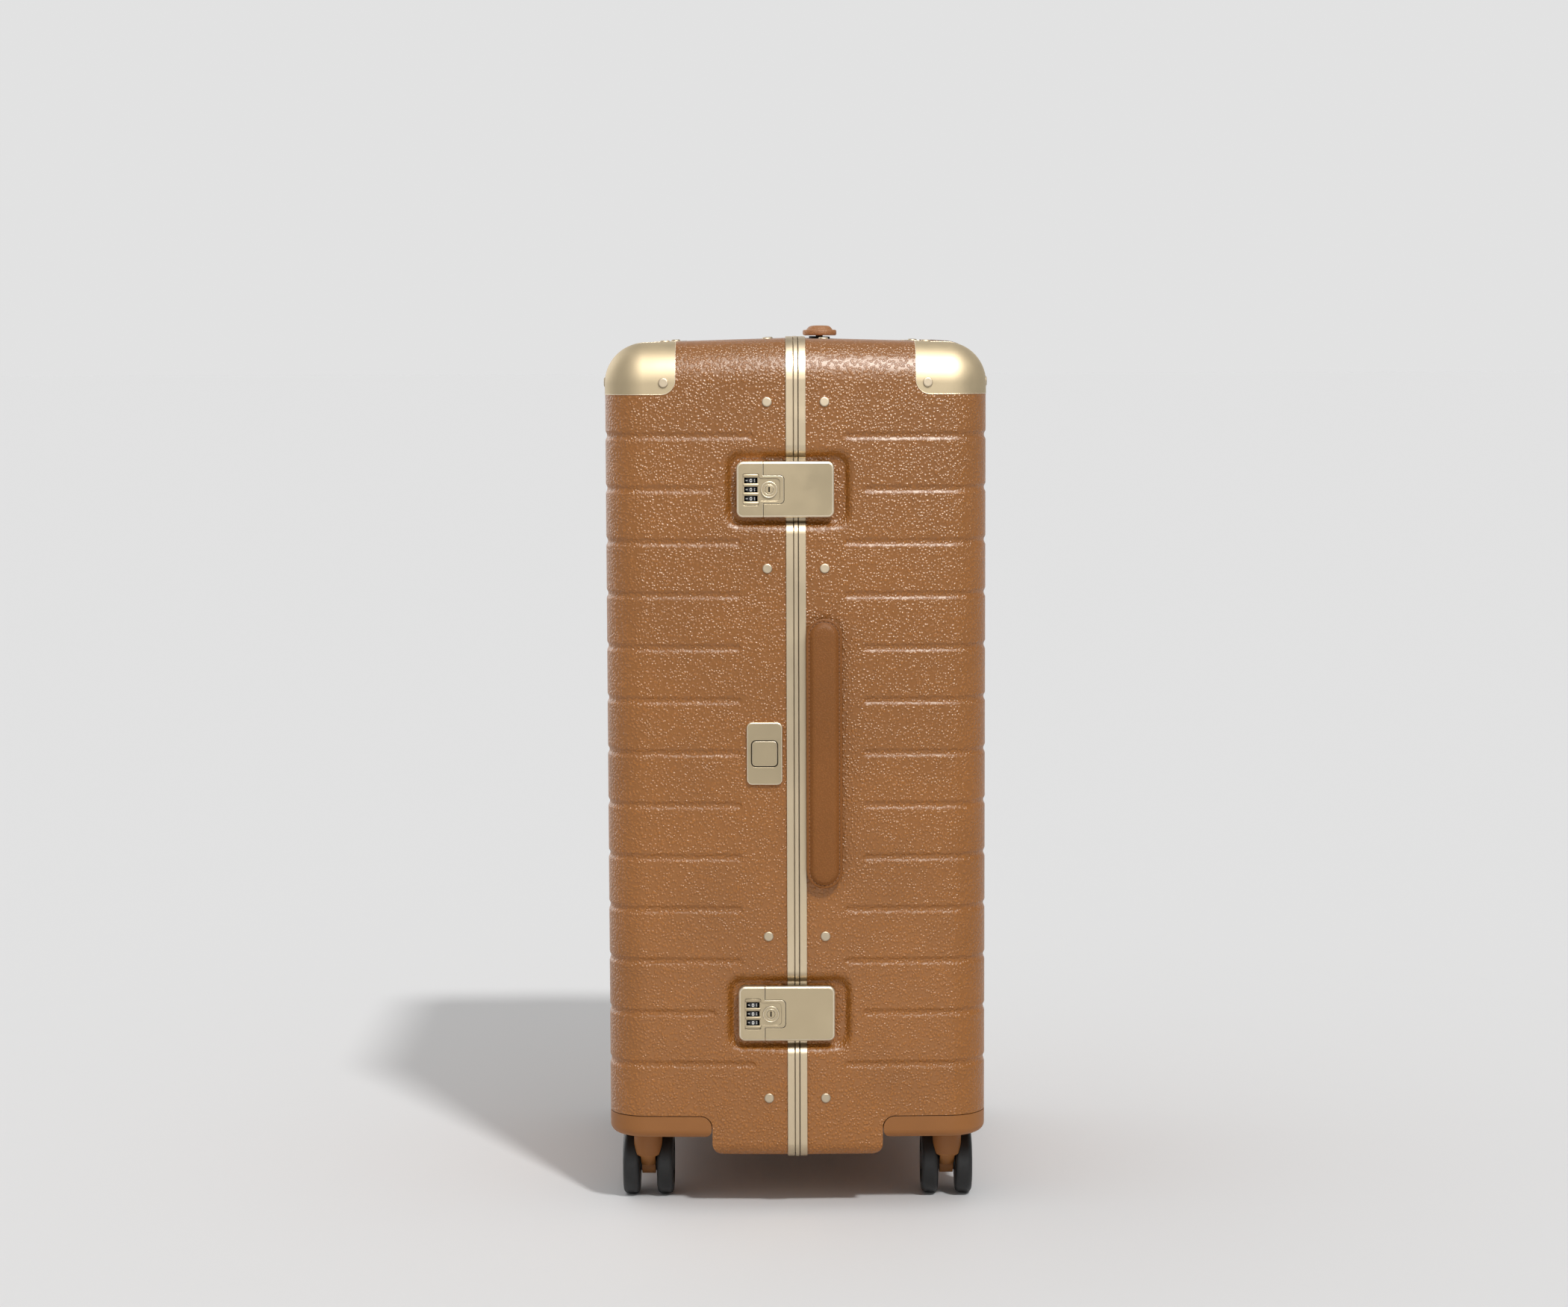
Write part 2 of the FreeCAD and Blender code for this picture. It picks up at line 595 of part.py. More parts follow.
def groove_front_end(side, steps):
    """Where a groove stops on the front wall, by its steps from the middle groove."""
    beside_lock = abs(steps) == LOCK_GROOVES
    if side == LID:
        outermost = abs(steps) == GROOVE_COUNT // 2
        return GROOVE_END_LOCK if beside_lock else GROOVE_END_OUTER if outermost else GROOVE_END
    return GROOVE_END_HANDLE if beside_lock or abs(steps) <= HANDLE_GROOVES else GROOVE_END_BASE


def grooves(side):
    """All groove cutters of one shell, at their heights."""
    back_end = GROOVE_END if side == LID else GROOVE_END_BASE
    patterns = {}
    cutters = []
    for i in range(GROOVE_COUNT):
        steps = i - GROOVE_COUNT // 2
        front_end = groove_front_end(side, steps)
        if front_end not in patterns:
            patterns[front_end] = groove_cutter(side, front_end, back_end)
        cutters.append(patterns[front_end].translated(Vector(0, 0, MID_Z + steps * GROOVE_PITCH)))
    return cutters


def soften_pocket(body, side):
    """Round the lip and the root of both lock pockets."""
    reach = {LID: POCKET_LID, BASE: POCKET_BASE}[side]

    def at_lock(bb):
        beside = any(abs(bb.Center.z - z) < POCKET_HALF + MARGIN for z in LOCK_Z.values())
        across = RIM_X + PICK < abs(bb.Center.x) < reach + MARGIN
        return beside and across and bb.Center.y < FLOOR_Y + MARGIN

    def lip(bb):
        return at_lock(bb) and bb.YMax < FRONT_Y + drop(reach) + PICK

    def root(bb):
        return at_lock(bb) and bb.YMin > FLOOR_Y - PICK

    body = body.makeFillet(POCKET_LIP_R, edges_where(body, lip))
    return body.makeFillet(POCKET_ROOT_R, edges_where(body, root))


def skin_rivets(side):
    """Placements of the rivets along the frame on one shell."""
    places = []
    for z in (RIVET_Z_NEAR, RIVET_Z_FAR, -RIVET_Z_NEAR, -RIVET_Z_FAR):
        places.append(on_wall(side, "front", RIVET_X, MID_Z + z))
        places.append(on_wall(side, "back", RIVET_X, MID_Z + z))
    for y in (CENTRE_Y - RIVET_Y, CENTRE_Y + RIVET_Y):
        places.append(on_wall(side, "top", RIVET_X, y))
        places.append(on_wall(side, "bottom", RIVET_X, y))
    return places


def cap_rivets(side, end):
    """Placements of the three rivets of a corner cap, on its three faces."""
    x = HALF_WIDTH - CAP_X + CAP_RIVET
    z = BODY_TOP - CAP_Z + CAP_RIVET
    wall_y = FRONT_Y if end == FRONT else BACK_Y
    y = wall_y - end * (CAP_Y - CAP_RIVET)
    lift = CAP_PROUD
    face = Vector(side * HALF_WIDTH, y, z)
    return [on_wall(side, "front" if end == FRONT else "back", x, z, lift),
            on_wall(side, "top", x, y, lift),
            placed(face, Vector(0, side, 0), UP, lift)]


def leaf_rivets(side):
    """Placements of the rivets that hold the hinge leaves of one half."""
    y = BACK_Y + BAND_PROUD + LEAF_T
    return [placed(Vector(side * LEAF_RIVET_X, y, hinge_z + z), Vector(-1, 0, 0), UP)
            for hinge_z in HINGE_HEIGHTS for z in (-LEAF_RIVET_Z, LEAF_RIVET_Z)]


def all_rivets(side):
    """Every rivet placement of one half with the length of its shank."""
    shank = BAND_PROUD + LEAF_T + FLANGE_IN
    rows = [(place, FLANGE_IN - drop(RIVET_X)) for place in skin_rivets(side)]
    rows += [(place, shank) for place in leaf_rivets(side)]
    for end in (FRONT, REAR):
        rows += [(place, CAP_PROUD + WALL) for place in cap_rivets(side, end)]
    return rows


def rivet(length):
    """A low domed head on its seat plane, with its shank below."""
    head = Part.makeCylinder(RIVET_R, RIVET_H)
    rim = edges_where(head, lambda bb: bb.ZMin > RIVET_H - PICK)
    head = head.makeFillet(RIVET_DOME_R, rim)
    return head.fuse(Part.makeCylinder(RIVET_SHANK_R, length, Vector(0, 0, -length))).removeSplitter()


def rivet_hole():
    """Cutter for a rivet's shank, long enough for any wall it goes through."""
    reach = FLANGE_IN + WALL + LEAF_T
    return Part.makeCylinder(RIVET_SHANK_R + RIVET_FIT, 2 * reach, Vector(0, 0, -reach))


def rivet_holes(side):
    """Holes for every rivet of one half."""
    return [moved(rivet_hole(), place) for place, length in all_rivets(side)]


def rivets(side):
    """All the rivets of one half, as separate solids of one group."""
    return Part.makeCompound([moved(rivet(length), place) for place, length in all_rivets(side)])


def bosses(side, inset):
    """What the bosses behind the lock pockets and wheel arches take out of the inner space of one half."""
    blocks = [pocket(z, inset) for z in LOCK_Z.values()]
    return blocks + [arch_cutter(side, end, HOUSING_GAP + inset) for end in (FRONT, REAR)]


def hollow(side):
    """Inner space of one shell."""
    return shell_block(side, WALL, 0).cut(bosses(side, WALL))


def shell_body(side):
    """Outside of one shell: walls with their lock pockets, wheel arches and grooves."""
    body = shell_block(side, 0)
    body = body.cut([pocket(z) for z in LOCK_Z.values()])
    body = soften_pocket(body, side)
    body = body.cut([arch_cutter(side, end, HOUSING_GAP) for end in (FRONT, REAR)])
    recess = shell_block(side, -MARGIN).cut(shell_block(side, CAP_T - CAP_PROUD + CAP_GAP))
    body = body.cut([recess.common(cap_region(side, end, CAP_EDGE_GAP)) for end in (FRONT, REAR)])
    return body.cut(grooves(side))


def in_panels(tray, split_x, inset_y):
    """Cut a tray into wide, front, rear, bottom and top panels that meet flush, so that none bends round the room."""
    wide = (split_x, math.copysign(HALF_WIDTH + MARGIN, split_x))
    rim = (0, split_x)
    seams_y = (FRONT_Y - MARGIN, FRONT_Y + inset_y, BACK_Y - inset_y, BACK_Y + MARGIN)
    ends_z = (BODY_BOTTOM - MARGIN, MID_Z, BODY_TOP + MARGIN)
    cells = [box(*wide, seams_y[0], seams_y[3], ends_z[0], ends_z[2]),
             box(*rim, seams_y[0], seams_y[1], ends_z[0], ends_z[2]),
             box(*rim, seams_y[2], seams_y[3], ends_z[0], ends_z[2]),
             box(*rim, seams_y[1], seams_y[2], ends_z[0], ends_z[1]),
             box(*rim, seams_y[1], seams_y[2], ends_z[1], ends_z[2])]
    return Part.makeCompound([solid for cell in cells for solid in tray.common(cell).Solids])


def lid_shell():
    """Lid half in five panels, with its holes for the locks, the catch and the rivets."""
    body = shell_body(LID).cut(hollow(LID))
    holes = rivet_holes(LID) + [moved(catch_hole(CATCH_CUP_GAP), catch_place())]
    holes += [dial_chamber(z, LOCK_BACK_WALL + LOCK_HOLE_GAP) for z in LOCK_Z.values()]
    return in_panels(body.cut(holes), LID * (HALF_WIDTH - PANEL_X), PANEL_Y)


def base_shell():
    """Base half with its holes for the handle guides, the pull handle and the rivets."""
    body = shell_body(BASE).cut(hollow(BASE))
    holes = rivet_holes(BASE) + guide_blocks(GUIDE_WALL + GUIDE_HOLE_GAP)
    holes.append(well_prism(CUP_WALL + CUP_HOLE_GAP, CUP_FLOOR_Z - CUP_FLOOR_T - MARGIN))
    return body.cut(holes)


def seam_outline(offset, x):
    """Outline of the case in the seam plane with the lock pockets, moved out by offset."""
    floor_half = POCKET_HALF - POCKET_DEPTH * POCKET_SLOPE
    outline = [(FRONT_Y, BODY_BOTTOM, BOTTOM_R), (BACK_Y, BODY_BOTTOM, BOTTOM_R),
               (BACK_Y, BODY_TOP, EDGE_R), (FRONT_Y, BODY_TOP, EDGE_R)]
    for z in (LOCK_Z["upper"], LOCK_Z["lower"]):
        outline += [(FRONT_Y, z + POCKET_HALF, POCKET_LIP_R), (FLOOR_Y, z + floor_half, POCKET_ROOT_R),
                    (FLOOR_Y, z - floor_half, POCKET_ROOT_R), (FRONT_Y, z - POCKET_HALF, POCKET_LIP_R)]
    points = [Vector(0, y, z) for y, z, radius in outline]
    count = len(points)
    moved_points = []
    radii = []
    for i, point in enumerate(points):
        arriving = (point - points[i - 1]).normalize()
        leaving = (points[(i + 1) % count] - point).normalize()
        out_before = arriving.cross(Vector(1, 0, 0))
        out_after = leaving.cross(Vector(1, 0, 0))
        out = (out_before + out_after).normalize()
        moved_points.append(point + out * (offset / out.dot(out_before)) + Vector(x, 0, 0))
        bulges = arriving.cross(leaving).x > 0
        radii.append(max(outline[i][2] + (offset if bulges else -offset), BAND_T / 2))
    return Part.Wire(rounded_path(moved_points, radii, True))


def ring(outer, inner, x0, x1):
    """A ring that follows the seam, between two offsets from the skin and two planes."""
    face = Part.Face(seam_outline(outer, x0))
    hole = Part.Face(seam_outline(inner, x0))
    return face.cut(hole).extrude(Vector(x1 - x0, 0, 0))


def frame_half(side):
    """Metal channel round one shell's rim: outer band, web and the flange that takes the rivets."""
    band = ring(BAND_PROUD, BAND_PROUD - BAND_T, side * BAND_SEAM_X, side * BAND_X)
    web = ring(BAND_PROUD, -FLANGE_IN, side * BAND_SEAM_X, side * (BAND_SEAM_X + BAND_T))
    flange = ring(-FLANGE_OFFSET, -FLANGE_IN, side * BAND_SEAM_X, side * FLANGE_X)
    channel = band.fuse([web, flange]).removeSplitter()
    holes = rivet_holes(side)
    if side == LID:
        holes.append(moved(catch_hole(HANDLE_HOLE_GAP), catch_place()))
    else:
        holes += guide_blocks(GUIDE_WALL + HANDLE_HOLE_GAP)
    return channel.cut(holes)


def frame_bead():
    """Bead on the lid frame that fills the seam when the case is shut."""
    root_end = BAND_SEAM_X - BEAD_GAP
    root = ring(-BEAD_NECK, -FLANGE_IN, -BAND_SEAM_X, root_end)
    bead = ring(BEAD_PROUD, -BEAD_NECK, -BEAD_HALF, BEAD_HALF)
    return root.fuse(bead).removeSplitter()


def cap_region(side, end, grow):
    """Space that a corner cap takes up, grown past the cap's edges."""
    wall_y = FRONT_Y if end == FRONT else BACK_Y
    inner = Vector(side * (HALF_WIDTH - CAP_X - grow), wall_y - end * (CAP_Y + grow), BODY_TOP - CAP_Z - grow)
    region = box(inner.x, side * (HALF_WIDTH + BLOCK_REACH), inner.y, wall_y + end * BLOCK_REACH,
                 inner.z, BODY_TOP + BLOCK_REACH)

    def inner_edge(bb):
        touching = [abs(bb.Center.x - inner.x) < PICK, abs(bb.Center.y - inner.y) < PICK,
                    abs(bb.Center.z - inner.z) < PICK]
        return sum(touching) == 2

    return region.makeFillet(CAP_R + grow, edges_where(region, inner_edge))


def corner_cap(side, end):
    """Pressed metal cap in its recess round one top corner."""
    layer = shell_block(side, -CAP_PROUD).cut(shell_block(side, CAP_T - CAP_PROUD))
    cap = layer.common(cap_region(side, end, 0))
    return cap.cut([moved(rivet_hole(), place) for place in cap_rivets(side, end)])


def swivel_point(side, end):
    """Floor point under the swivel of a caster."""
    wall_y = FRONT_Y if end == FRONT else BACK_Y
    return Vector(side * SWIVEL_X, wall_y - end * CASTER_Y, 0)


def wheel_housing(side, end):
    """Smooth bumper that fills the bottom corner and holds the caster's swivel.

    A land on its top meets the shell, so that an even parting line shows round it.
    """
    body = shell_block(side, 0).common(arch_block(side, end, 0, HOUSING_BOTTOM, HOUSING_TOP))

    def lower_outer(bb):
        on_bottom = bb.ZMax < HOUSING_BOTTOM + PICK
        wall_y = FRONT_Y if end == FRONT else BACK_Y
        at_wall = abs(bb.Center.y - wall_y) < EDGE_R or abs(bb.Center.x) > HALF_WIDTH - EDGE_R
        return on_bottom and at_wall

    body = body.makeFillet(HOUSING_EDGE_R, edges_where(body, lower_outer))
    spot = swivel_point(side, end)
    inner_y = spot.y - end * (ARCH_Y - CASTER_Y - HOUSING_PLAN_R)
    outer_y = spot.y + end * CASTER_Y
    land = box(side * (ARCH_X + HOUSING_PLAN_R), side * HALF_WIDTH, inner_y, outer_y,
               HOUSING_TOP - MARGIN, HOUSING_TOP + HOUSING_GAP - HOUSING_SEAT)
    body = body.fuse(shell_block(side, HOUSING_LAND_IN).common(land)).removeSplitter()
    bore = Part.makeCylinder(SWIVEL_R + SWIVEL_FIT, SWIVEL_LEN + SWIVEL_FIT, spot + UP * HOUSING_BOTTOM)
    return body.cut(bore)


def caster_fork():
    """Fork of one caster, with its swivel on the origin's upright: head, taper, blade and hub."""
    top = HOUSING_BOTTOM - FORK_TOP_GAP
    taper_top = top - FORK_HEAD_DROP
    taper_bottom = taper_top - FORK_TAPER
    head = Part.makeCylinder(FORK_R, FORK_HEAD_DROP, Vector(0, 0, taper_top))
    stem = Part.makeCylinder(SWIVEL_R, FORK_TOP_GAP + SWIVEL_LEN, Vector(0, 0, top))
    upper = Part.Wire(Part.makeCircle(FORK_R, Vector(0, 0, taper_top)))
    lower = Part.Wire(Part.makeCircle(FORK_HALF, Vector(0, FORK_SHIFT, taper_bottom)))
    taper = Part.makeLoft([upper, lower], True, True)
    across = Vector(1, 0, 0)
    hub_start = Vector(-FORK_HALF, TRAIL, WHEEL_R)
    hub = Part.makeCylinder(FORK_HUB_R, 2 * FORK_HALF, hub_start, across)
    profile = [(TRAIL + FORK_HUB_R, WHEEL_R), (FORK_BLADE, top), (-FORK_BLADE, taper_top),
               (FORK_SHIFT, taper_bottom), (TRAIL, WHEEL_R)]
    points = [Vector(-FORK_HALF, y, z) for y, z in profile]
    blade = Part.Face(Part.makePolygon(points + points[:1])).extrude(across * (2 * FORK_HALF))
    fork = head.fuse([stem, taper, hub, blade])
    cuts = []
    for direction in (-1, 1):
        start = Vector(direction * (FORK_HALF + WHEEL_BOSS_GAP), TRAIL, WHEEL_R)
        cuts.append(Part.makeCylinder(WHEEL_R + FORK_WHEEL_GAP, FORK_R, start, across * direction))
    cuts.append(Part.makeCylinder(AXLE_R, 2 * FORK_HALF, hub_start, across))
    return fork.cut(cuts).removeSplitter()


def caster_axle():
    """Axle through the fork, ending inside both wheels."""
    half = TWIN_HALF - WHEEL_CAP - AXLE_END_GAP
    return Part.makeCylinder(AXLE_R, 2 * half, Vector(-half, TRAIL, WHEEL_R), Vector(1, 0, 0))


def wheel(direction):
    """One wheel of a caster, on the side that direction gives, with the swivel on the origin's upright."""
    across = Vector(direction, 0, 0)
    inner = Vector(direction * WHEEL_SPLIT / 2, TRAIL, WHEEL_R)
    tread = Part.makeCylinder(WHEEL_R, WHEEL_W, inner, across)
    rims = [edge for edge in tread.Edges if isinstance(edge.Curve, Part.Circle)]
    tread = tread.makeFillet(WHEEL_EDGE_R, rims)
    boss_x = FORK_HALF + WHEEL_BOSS_GAP
    boss = Part.makeCylinder(WHEEL_BOSS_R, WHEEL_SPLIT / 2 - boss_x + WHEEL_W,
                             Vector(direction * boss_x, TRAIL, WHEEL_R), across)
    dish = Part.makeCylinder(WHEEL_DISH_R, WHEEL_DISH, inner + across * (WHEEL_W - WHEEL_DISH), across)
    bore = Part.makeCylinder(AXLE_R + AXLE_FIT, TWIN_HALF - WHEEL_CAP, Vector(0, TRAIL, WHEEL_R), across)
    return tread.cut(dish).fuse(boss).cut(bore).removeSplitter()


def in_pocket(centre_z, x0, x1, z0, z1, h0, h1):
    """A block in a lock pocket: heights are above the pocket floor, z is from the lock's middle."""
    return box(x0, x1, FLOOR_Y - h0, FLOOR_Y - h1, centre_z + z0, centre_z + z1)


def dial_chamber(centre_z, grow):
    """Space round the dials of a lock; grown by its wall it is the outside of the lock's back."""
    half_x = DIAL_R + DIAL_GAP + grow
    half_z = (DIAL_COUNT - 1) * DIAL_PITCH / 2 + DIAL_W / 2 + DIAL_GAP + grow
    top = LOCK_H - WINDOW_SINK - LOCK_SKIN if grow == 0 else LOCK_BACK_LAP
    return in_pocket(centre_z, -DIAL_X - half_x, -DIAL_X + half_x, -half_z, half_z,
                     DIAL_AXIS_H - DIAL_R - DIAL_GAP - grow, top)


def dial_heights():
    """Heights of the dials from the lock's middle."""
    return [(i - (DIAL_COUNT - 1) / 2) * DIAL_PITCH for i in range(DIAL_COUNT)]


def rounded_ends(block, x, radius):
    """Round the two edges of a block that run out of the pocket at an end."""
    def at_end(bb):
        return abs(bb.Center.x - x) < PICK and bb.YLength > MARGIN and bb.ZLength < PICK

    return block.makeFillet(radius, edges_where(block, at_end))


def lock_panel(centre_z):
    """Cutter of the sunk panel in a lock's face, tall round the dials and lower round the key cylinder."""
    left = -DIAL_X - WINDOW_L / 2
    right = -DIAL_X + WINDOW_L / 2
    corners = [(left, -WINDOW_HALF), (right, -WINDOW_HALF), (right, -PANEL_HALF), (-PANEL_END_X, -PANEL_HALF),
               (-PANEL_END_X, PANEL_HALF), (right, PANEL_HALF), (right, WINDOW_HALF), (left, WINDOW_HALF)]
    radii = [PANEL_R, PANEL_R, PANEL_R, PANEL_END_R, PANEL_END_R, PANEL_R, PANEL_R, PANEL_R]
    points = [Vector(x, FLOOR_Y - LOCK_H + WINDOW_SINK, centre_z + z) for x, z in corners]
    outline = Part.Wire(rounded_path(points, radii, True))
    return Part.Face(outline).extrude(Vector(0, -WINDOW_SINK - MARGIN, 0))


def lock_body(centre_z):
    """Lock case with the dial chamber, dial shaft, key block and the plate under the flap."""
    face = in_pocket(centre_z, -LOCK_OUT_X, -LOCK_SPLIT_X - FLAP_GAP / 2, -LOCK_HALF, LOCK_HALF, 0, LOCK_H)
    face = rounded_ends(face, -LOCK_OUT_X, LOCK_R)
    block = in_pocket(centre_z, -LOCK_SPLIT_X - LOCK_R, -KEY_END_X, -KEY_HALF, KEY_HALF, 0, LOCK_H)
    block = rounded_ends(block, -KEY_END_X, KEY_BLOCK_R)
    case = face.fuse(block).removeSplitter()
    top_y = FLOOR_Y - LOCK_H
    split = -LOCK_SPLIT_X - FLAP_GAP / 2

    def outer_edge(bb):
        return bb.YMax < top_y + PICK and bb.XMin < split - MARGIN

    def split_edge(bb):
        return bb.YMax < top_y + PICK and bb.XMin > split - PICK

    case = case.makeFillet(LOCK_EDGE_R, edges_where(case, outer_edge))
    case = case.makeFillet(LOCK_SPLIT_R, edges_where(case, split_edge))
    tail = in_pocket(centre_z, -LOCK_SPLIT_X - LOCK_R, -LOCK_TAIL_X, -LOCK_HALF + LOCK_EDGE_R,
                     LOCK_HALF - LOCK_EDGE_R, 0, LOCK_TAIL_T)
    case = case.fuse([tail, dial_chamber(centre_z, LOCK_BACK_WALL)]).removeSplitter()
    cuts = [dial_chamber(centre_z, 0), lock_panel(centre_z)]
    for z in dial_heights():
        cuts.append(in_pocket(centre_z, -DIAL_X - SLOT_L / 2, -DIAL_X + SLOT_L / 2, z - SLOT_W / 2,
                              z + SLOT_W / 2, DIAL_AXIS_H, LOCK_H))
    shaft_foot = Vector(-DIAL_X, FLOOR_Y - DIAL_AXIS_H, centre_z - WINDOW_HALF)
    shaft = Part.makeCylinder(DIAL_SHAFT_R, 2 * WINDOW_HALF, shaft_foot)
    key_front = Vector(-KEY_X, top_y - KEY_RING_H, centre_z)
    inward = Vector(0, 1, 0)
    key_ring = Part.makeCylinder(KEY_RING_R, KEY_RING_H + WINDOW_SINK, key_front, inward)
    key_bore = Part.makeCylinder(KEY_R + KEY_FIT, KEY_RING_H + KEY_DEPTH + KEY_FIT, key_front, inward)
    return case.cut(cuts).fuse([shaft, key_ring]).removeSplitter().cut(key_bore)


def dial(centre_z, z):
    """One number dial on the lock's shaft."""
    axis = Vector(-DIAL_X, FLOOR_Y - DIAL_AXIS_H, centre_z + z - DIAL_W / 2)
    drum = Part.makeCylinder(DIAL_R, DIAL_W, axis)
    drum = drum.makeChamfer(DIAL_EDGE, [e for e in drum.Edges if isinstance(e.Curve, Part.Circle)])
    return drum.cut(Part.makeCylinder(DIAL_SHAFT_R + DIAL_BORE_FIT, DIAL_W, axis))


def key_cylinder(centre_z):
    """Turning cylinder with an upright keyway."""
    front = Vector(-KEY_X, FLOOR_Y - LOCK_H - KEY_RING_H - KEY_PROUD, centre_z)
    plug = Part.makeCylinder(KEY_R, KEY_PROUD + KEY_RING_H + KEY_DEPTH, front, Vector(0, 1, 0))
    keyway = box(-KEY_X - KEYWAY_W / 2, -KEY_X + KEYWAY_W / 2, front.y, front.y + KEYWAY_DEPTH,
                 centre_z - KEYWAY_L / 2, centre_z + KEYWAY_L / 2)
    return plug.cut(keyway)


def latch_flap(centre_z):
    """Flap over the lock, with the notch round the key block and its pin near the rounded end."""
    under = LOCK_H - FLAP_T
    left = -LOCK_SPLIT_X + FLAP_GAP / 2
    flap = in_pocket(centre_z, left, FLAP_END_X, -LOCK_HALF, LOCK_HALF, under, LOCK_H)
    flap = rounded_ends(flap, FLAP_END_X, FLAP_R)
    top_y = FLOOR_Y - LOCK_H
    under_y = FLOOR_Y - under

    def face_edge(bb):
        return bb.YMax < top_y + PICK and bb.XMax > left + PICK

    def heel_edge(bb):
        return bb.YMin > under_y - PICK and bb.XMax > left + PICK

    flap = flap.makeFillet(LOCK_EDGE_R, edges_where(flap, face_edge))
    flap = flap.makeFillet(FLAP_HEEL_R, edges_where(flap, heel_edge))
    notch = in_pocket(centre_z, left - MARGIN, -KEY_END_X + FLAP_GAP, -KEY_HALF - FLAP_GAP,
                      KEY_HALF + FLAP_GAP, 0, LOCK_H + MARGIN)
    cuts = [rounded_ends(notch, -KEY_END_X + FLAP_GAP, KEY_BLOCK_R + FLAP_GAP)]
    for z in (-EAR_Z, EAR_Z):
        half = EAR_T / 2 + EAR_GAP
        cuts.append(in_pocket(centre_z, FLAP_PIN_X - EAR_R - EAR_GAP / 2, FLAP_END_X + MARGIN,
                              z - half, z + half, under - MARGIN, LOCK_H - FLAP_SKIN))
    half_pin = FLAP_PIN_HALF + FLAP_PIN_FIT
    cuts.append(Part.makeCylinder(FLAP_PIN_R + FLAP_PIN_FIT, 2 * half_pin,
                                  Vector(FLAP_PIN_X, FLOOR_Y - FLAP_PIN_H, centre_z - half_pin)))
    return flap.cut(cuts)


def flap_bracket(centre_z):
    """Plate with two ears on the base, and the pin that the flap turns on."""
    plate = in_pocket(centre_z, BRACKET_X, FLAP_PIN_X + BRACKET_PAST, -BRACKET_HALF, BRACKET_HALF,
                      0, BRACKET_T)
    eye_y = FLOOR_Y - FLAP_PIN_H
    bracket = plate
    for z in (-EAR_Z, EAR_Z):
        ear = in_pocket(centre_z, FLAP_PIN_X - EAR_HALF, FLAP_PIN_X + EAR_HALF, z - EAR_T / 2, z + EAR_T / 2,
                        0, FLAP_PIN_H)
        eye = Part.makeCylinder(EAR_R, EAR_T, Vector(FLAP_PIN_X, eye_y, centre_z + z - EAR_T / 2))
        bracket = bracket.fuse([ear, eye])
    pin_foot = Vector(FLAP_PIN_X, eye_y, centre_z - FLAP_PIN_HALF)
    pin = Part.makeCylinder(FLAP_PIN_R, 2 * FLAP_PIN_HALF, pin_foot)
    return Part.makeCompound([bracket.removeSplitter().cut(pin), pin])


def catch_place():
    """Placement of the centre catch on the lid's front wall."""
    return on_wall(LID, "front", CATCH_X, MID_Z)


def square(half, radius, z0, z1):
    """A rounded square block about the local axis."""
    return rounded_box((-half, half, -half, half, z0, z1), radius, UP)


def catch_hole(gap):
    """Opening for the catch's cup and its stem guide, in local coordinates."""
    return square(CATCH_CUP / 2 + gap, BUTTON_R + CATCH_CUP_WALL, -CATCH_BACK - gap, CATCH_T / 2)


def catch_plate():
    """Catch plate with the cup behind it and the guide for the button's stem."""
    plate = rounded_box((-CATCH_W / 2, CATCH_W / 2, -CATCH_H / 2, CATCH_H / 2, 0, CATCH_T), CATCH_R, UP)
    plate = plate.makeFillet(CATCH_EDGE_R, edges_where(plate, lambda bb: bb.ZMin > CATCH_T - PICK))
    cup = square(CATCH_CUP / 2, BUTTON_R + CATCH_CUP_WALL, -CUP_DEPTH - CATCH_CUP_WALL, CATCH_T / 2)
    guide = Part.makeCylinder(STEM_R + STEM_WALL, STEM_GUIDE, Vector(0, 0, -CATCH_BACK))
    body = plate.fuse([cup, guide]).removeSplitter()
    well = square(BUTTON_HOLE / 2, BUTTON_R + BUTTON_GAP, -CUP_DEPTH, CATCH_T + MARGIN)
    bore = Part.makeCylinder(STEM_R + STEM_FIT, CATCH_BACK + MARGIN, Vector(0, 0, -CATCH_BACK - MARGIN))
    return moved(body.cut([well, bore]), catch_place())


def catch_button():
    """Square push button on its stem."""
    face = CATCH_T - BUTTON_SUNK
    block = square(BUTTON_W / 2, BUTTON_R, face - BUTTON_T, face)
    block = block.makeFillet(BUTTON_EDGE_R, edges_where(block, lambda bb: bb.ZMin > face - PICK))
    stem = Part.makeCylinder(STEM_R, CATCH_BACK - BUTTON_TRAVEL + face - BUTTON_T,
                             Vector(0, 0, BUTTON_TRAVEL - CATCH_BACK))
    return moved(block.fuse(stem).removeSplitter(), catch_place())


def stadium(length, width, z0, z1):
    """A block with round ends along local Y."""
    return rounded_box((-width / 2, width / 2, -length / 2, length / 2, z0, z1), width / 2 - PICK, UP)


def handle(length, width, leg_at):
    """Leather handle in local coordinates: stitched edge, raised pad and the two legs it slides on."""
    edge = stadium(length, width, HANDLE_GAP, HANDLE_GAP + HANDLE_FLANGE)
    edge = edge.makeFillet(HANDLE_EDGE_R, edges_where(edge, lambda bb: bb.ZLength < PICK))
    pad = stadium(length - 2 * HANDLE_MARGIN, width - 2 * HANDLE_MARGIN, HANDLE_GAP, HANDLE_GAP + HANDLE_T)
    top_z = HANDLE_GAP + HANDLE_T - PICK
    pad = pad.makeFillet(HANDLE_PAD_R, edges_where(pad, lambda bb: bb.ZMin > top_z))
    legs = [box(-LEG_T / 2, LEG_T / 2, y - LEG_W / 2, y + LEG_W / 2, -LEG_IN, HANDLE_GAP + HANDLE_FLANGE)
            for y in (-leg_at, leg_at)]
    return edge.fuse([pad] + legs).removeSplitter()


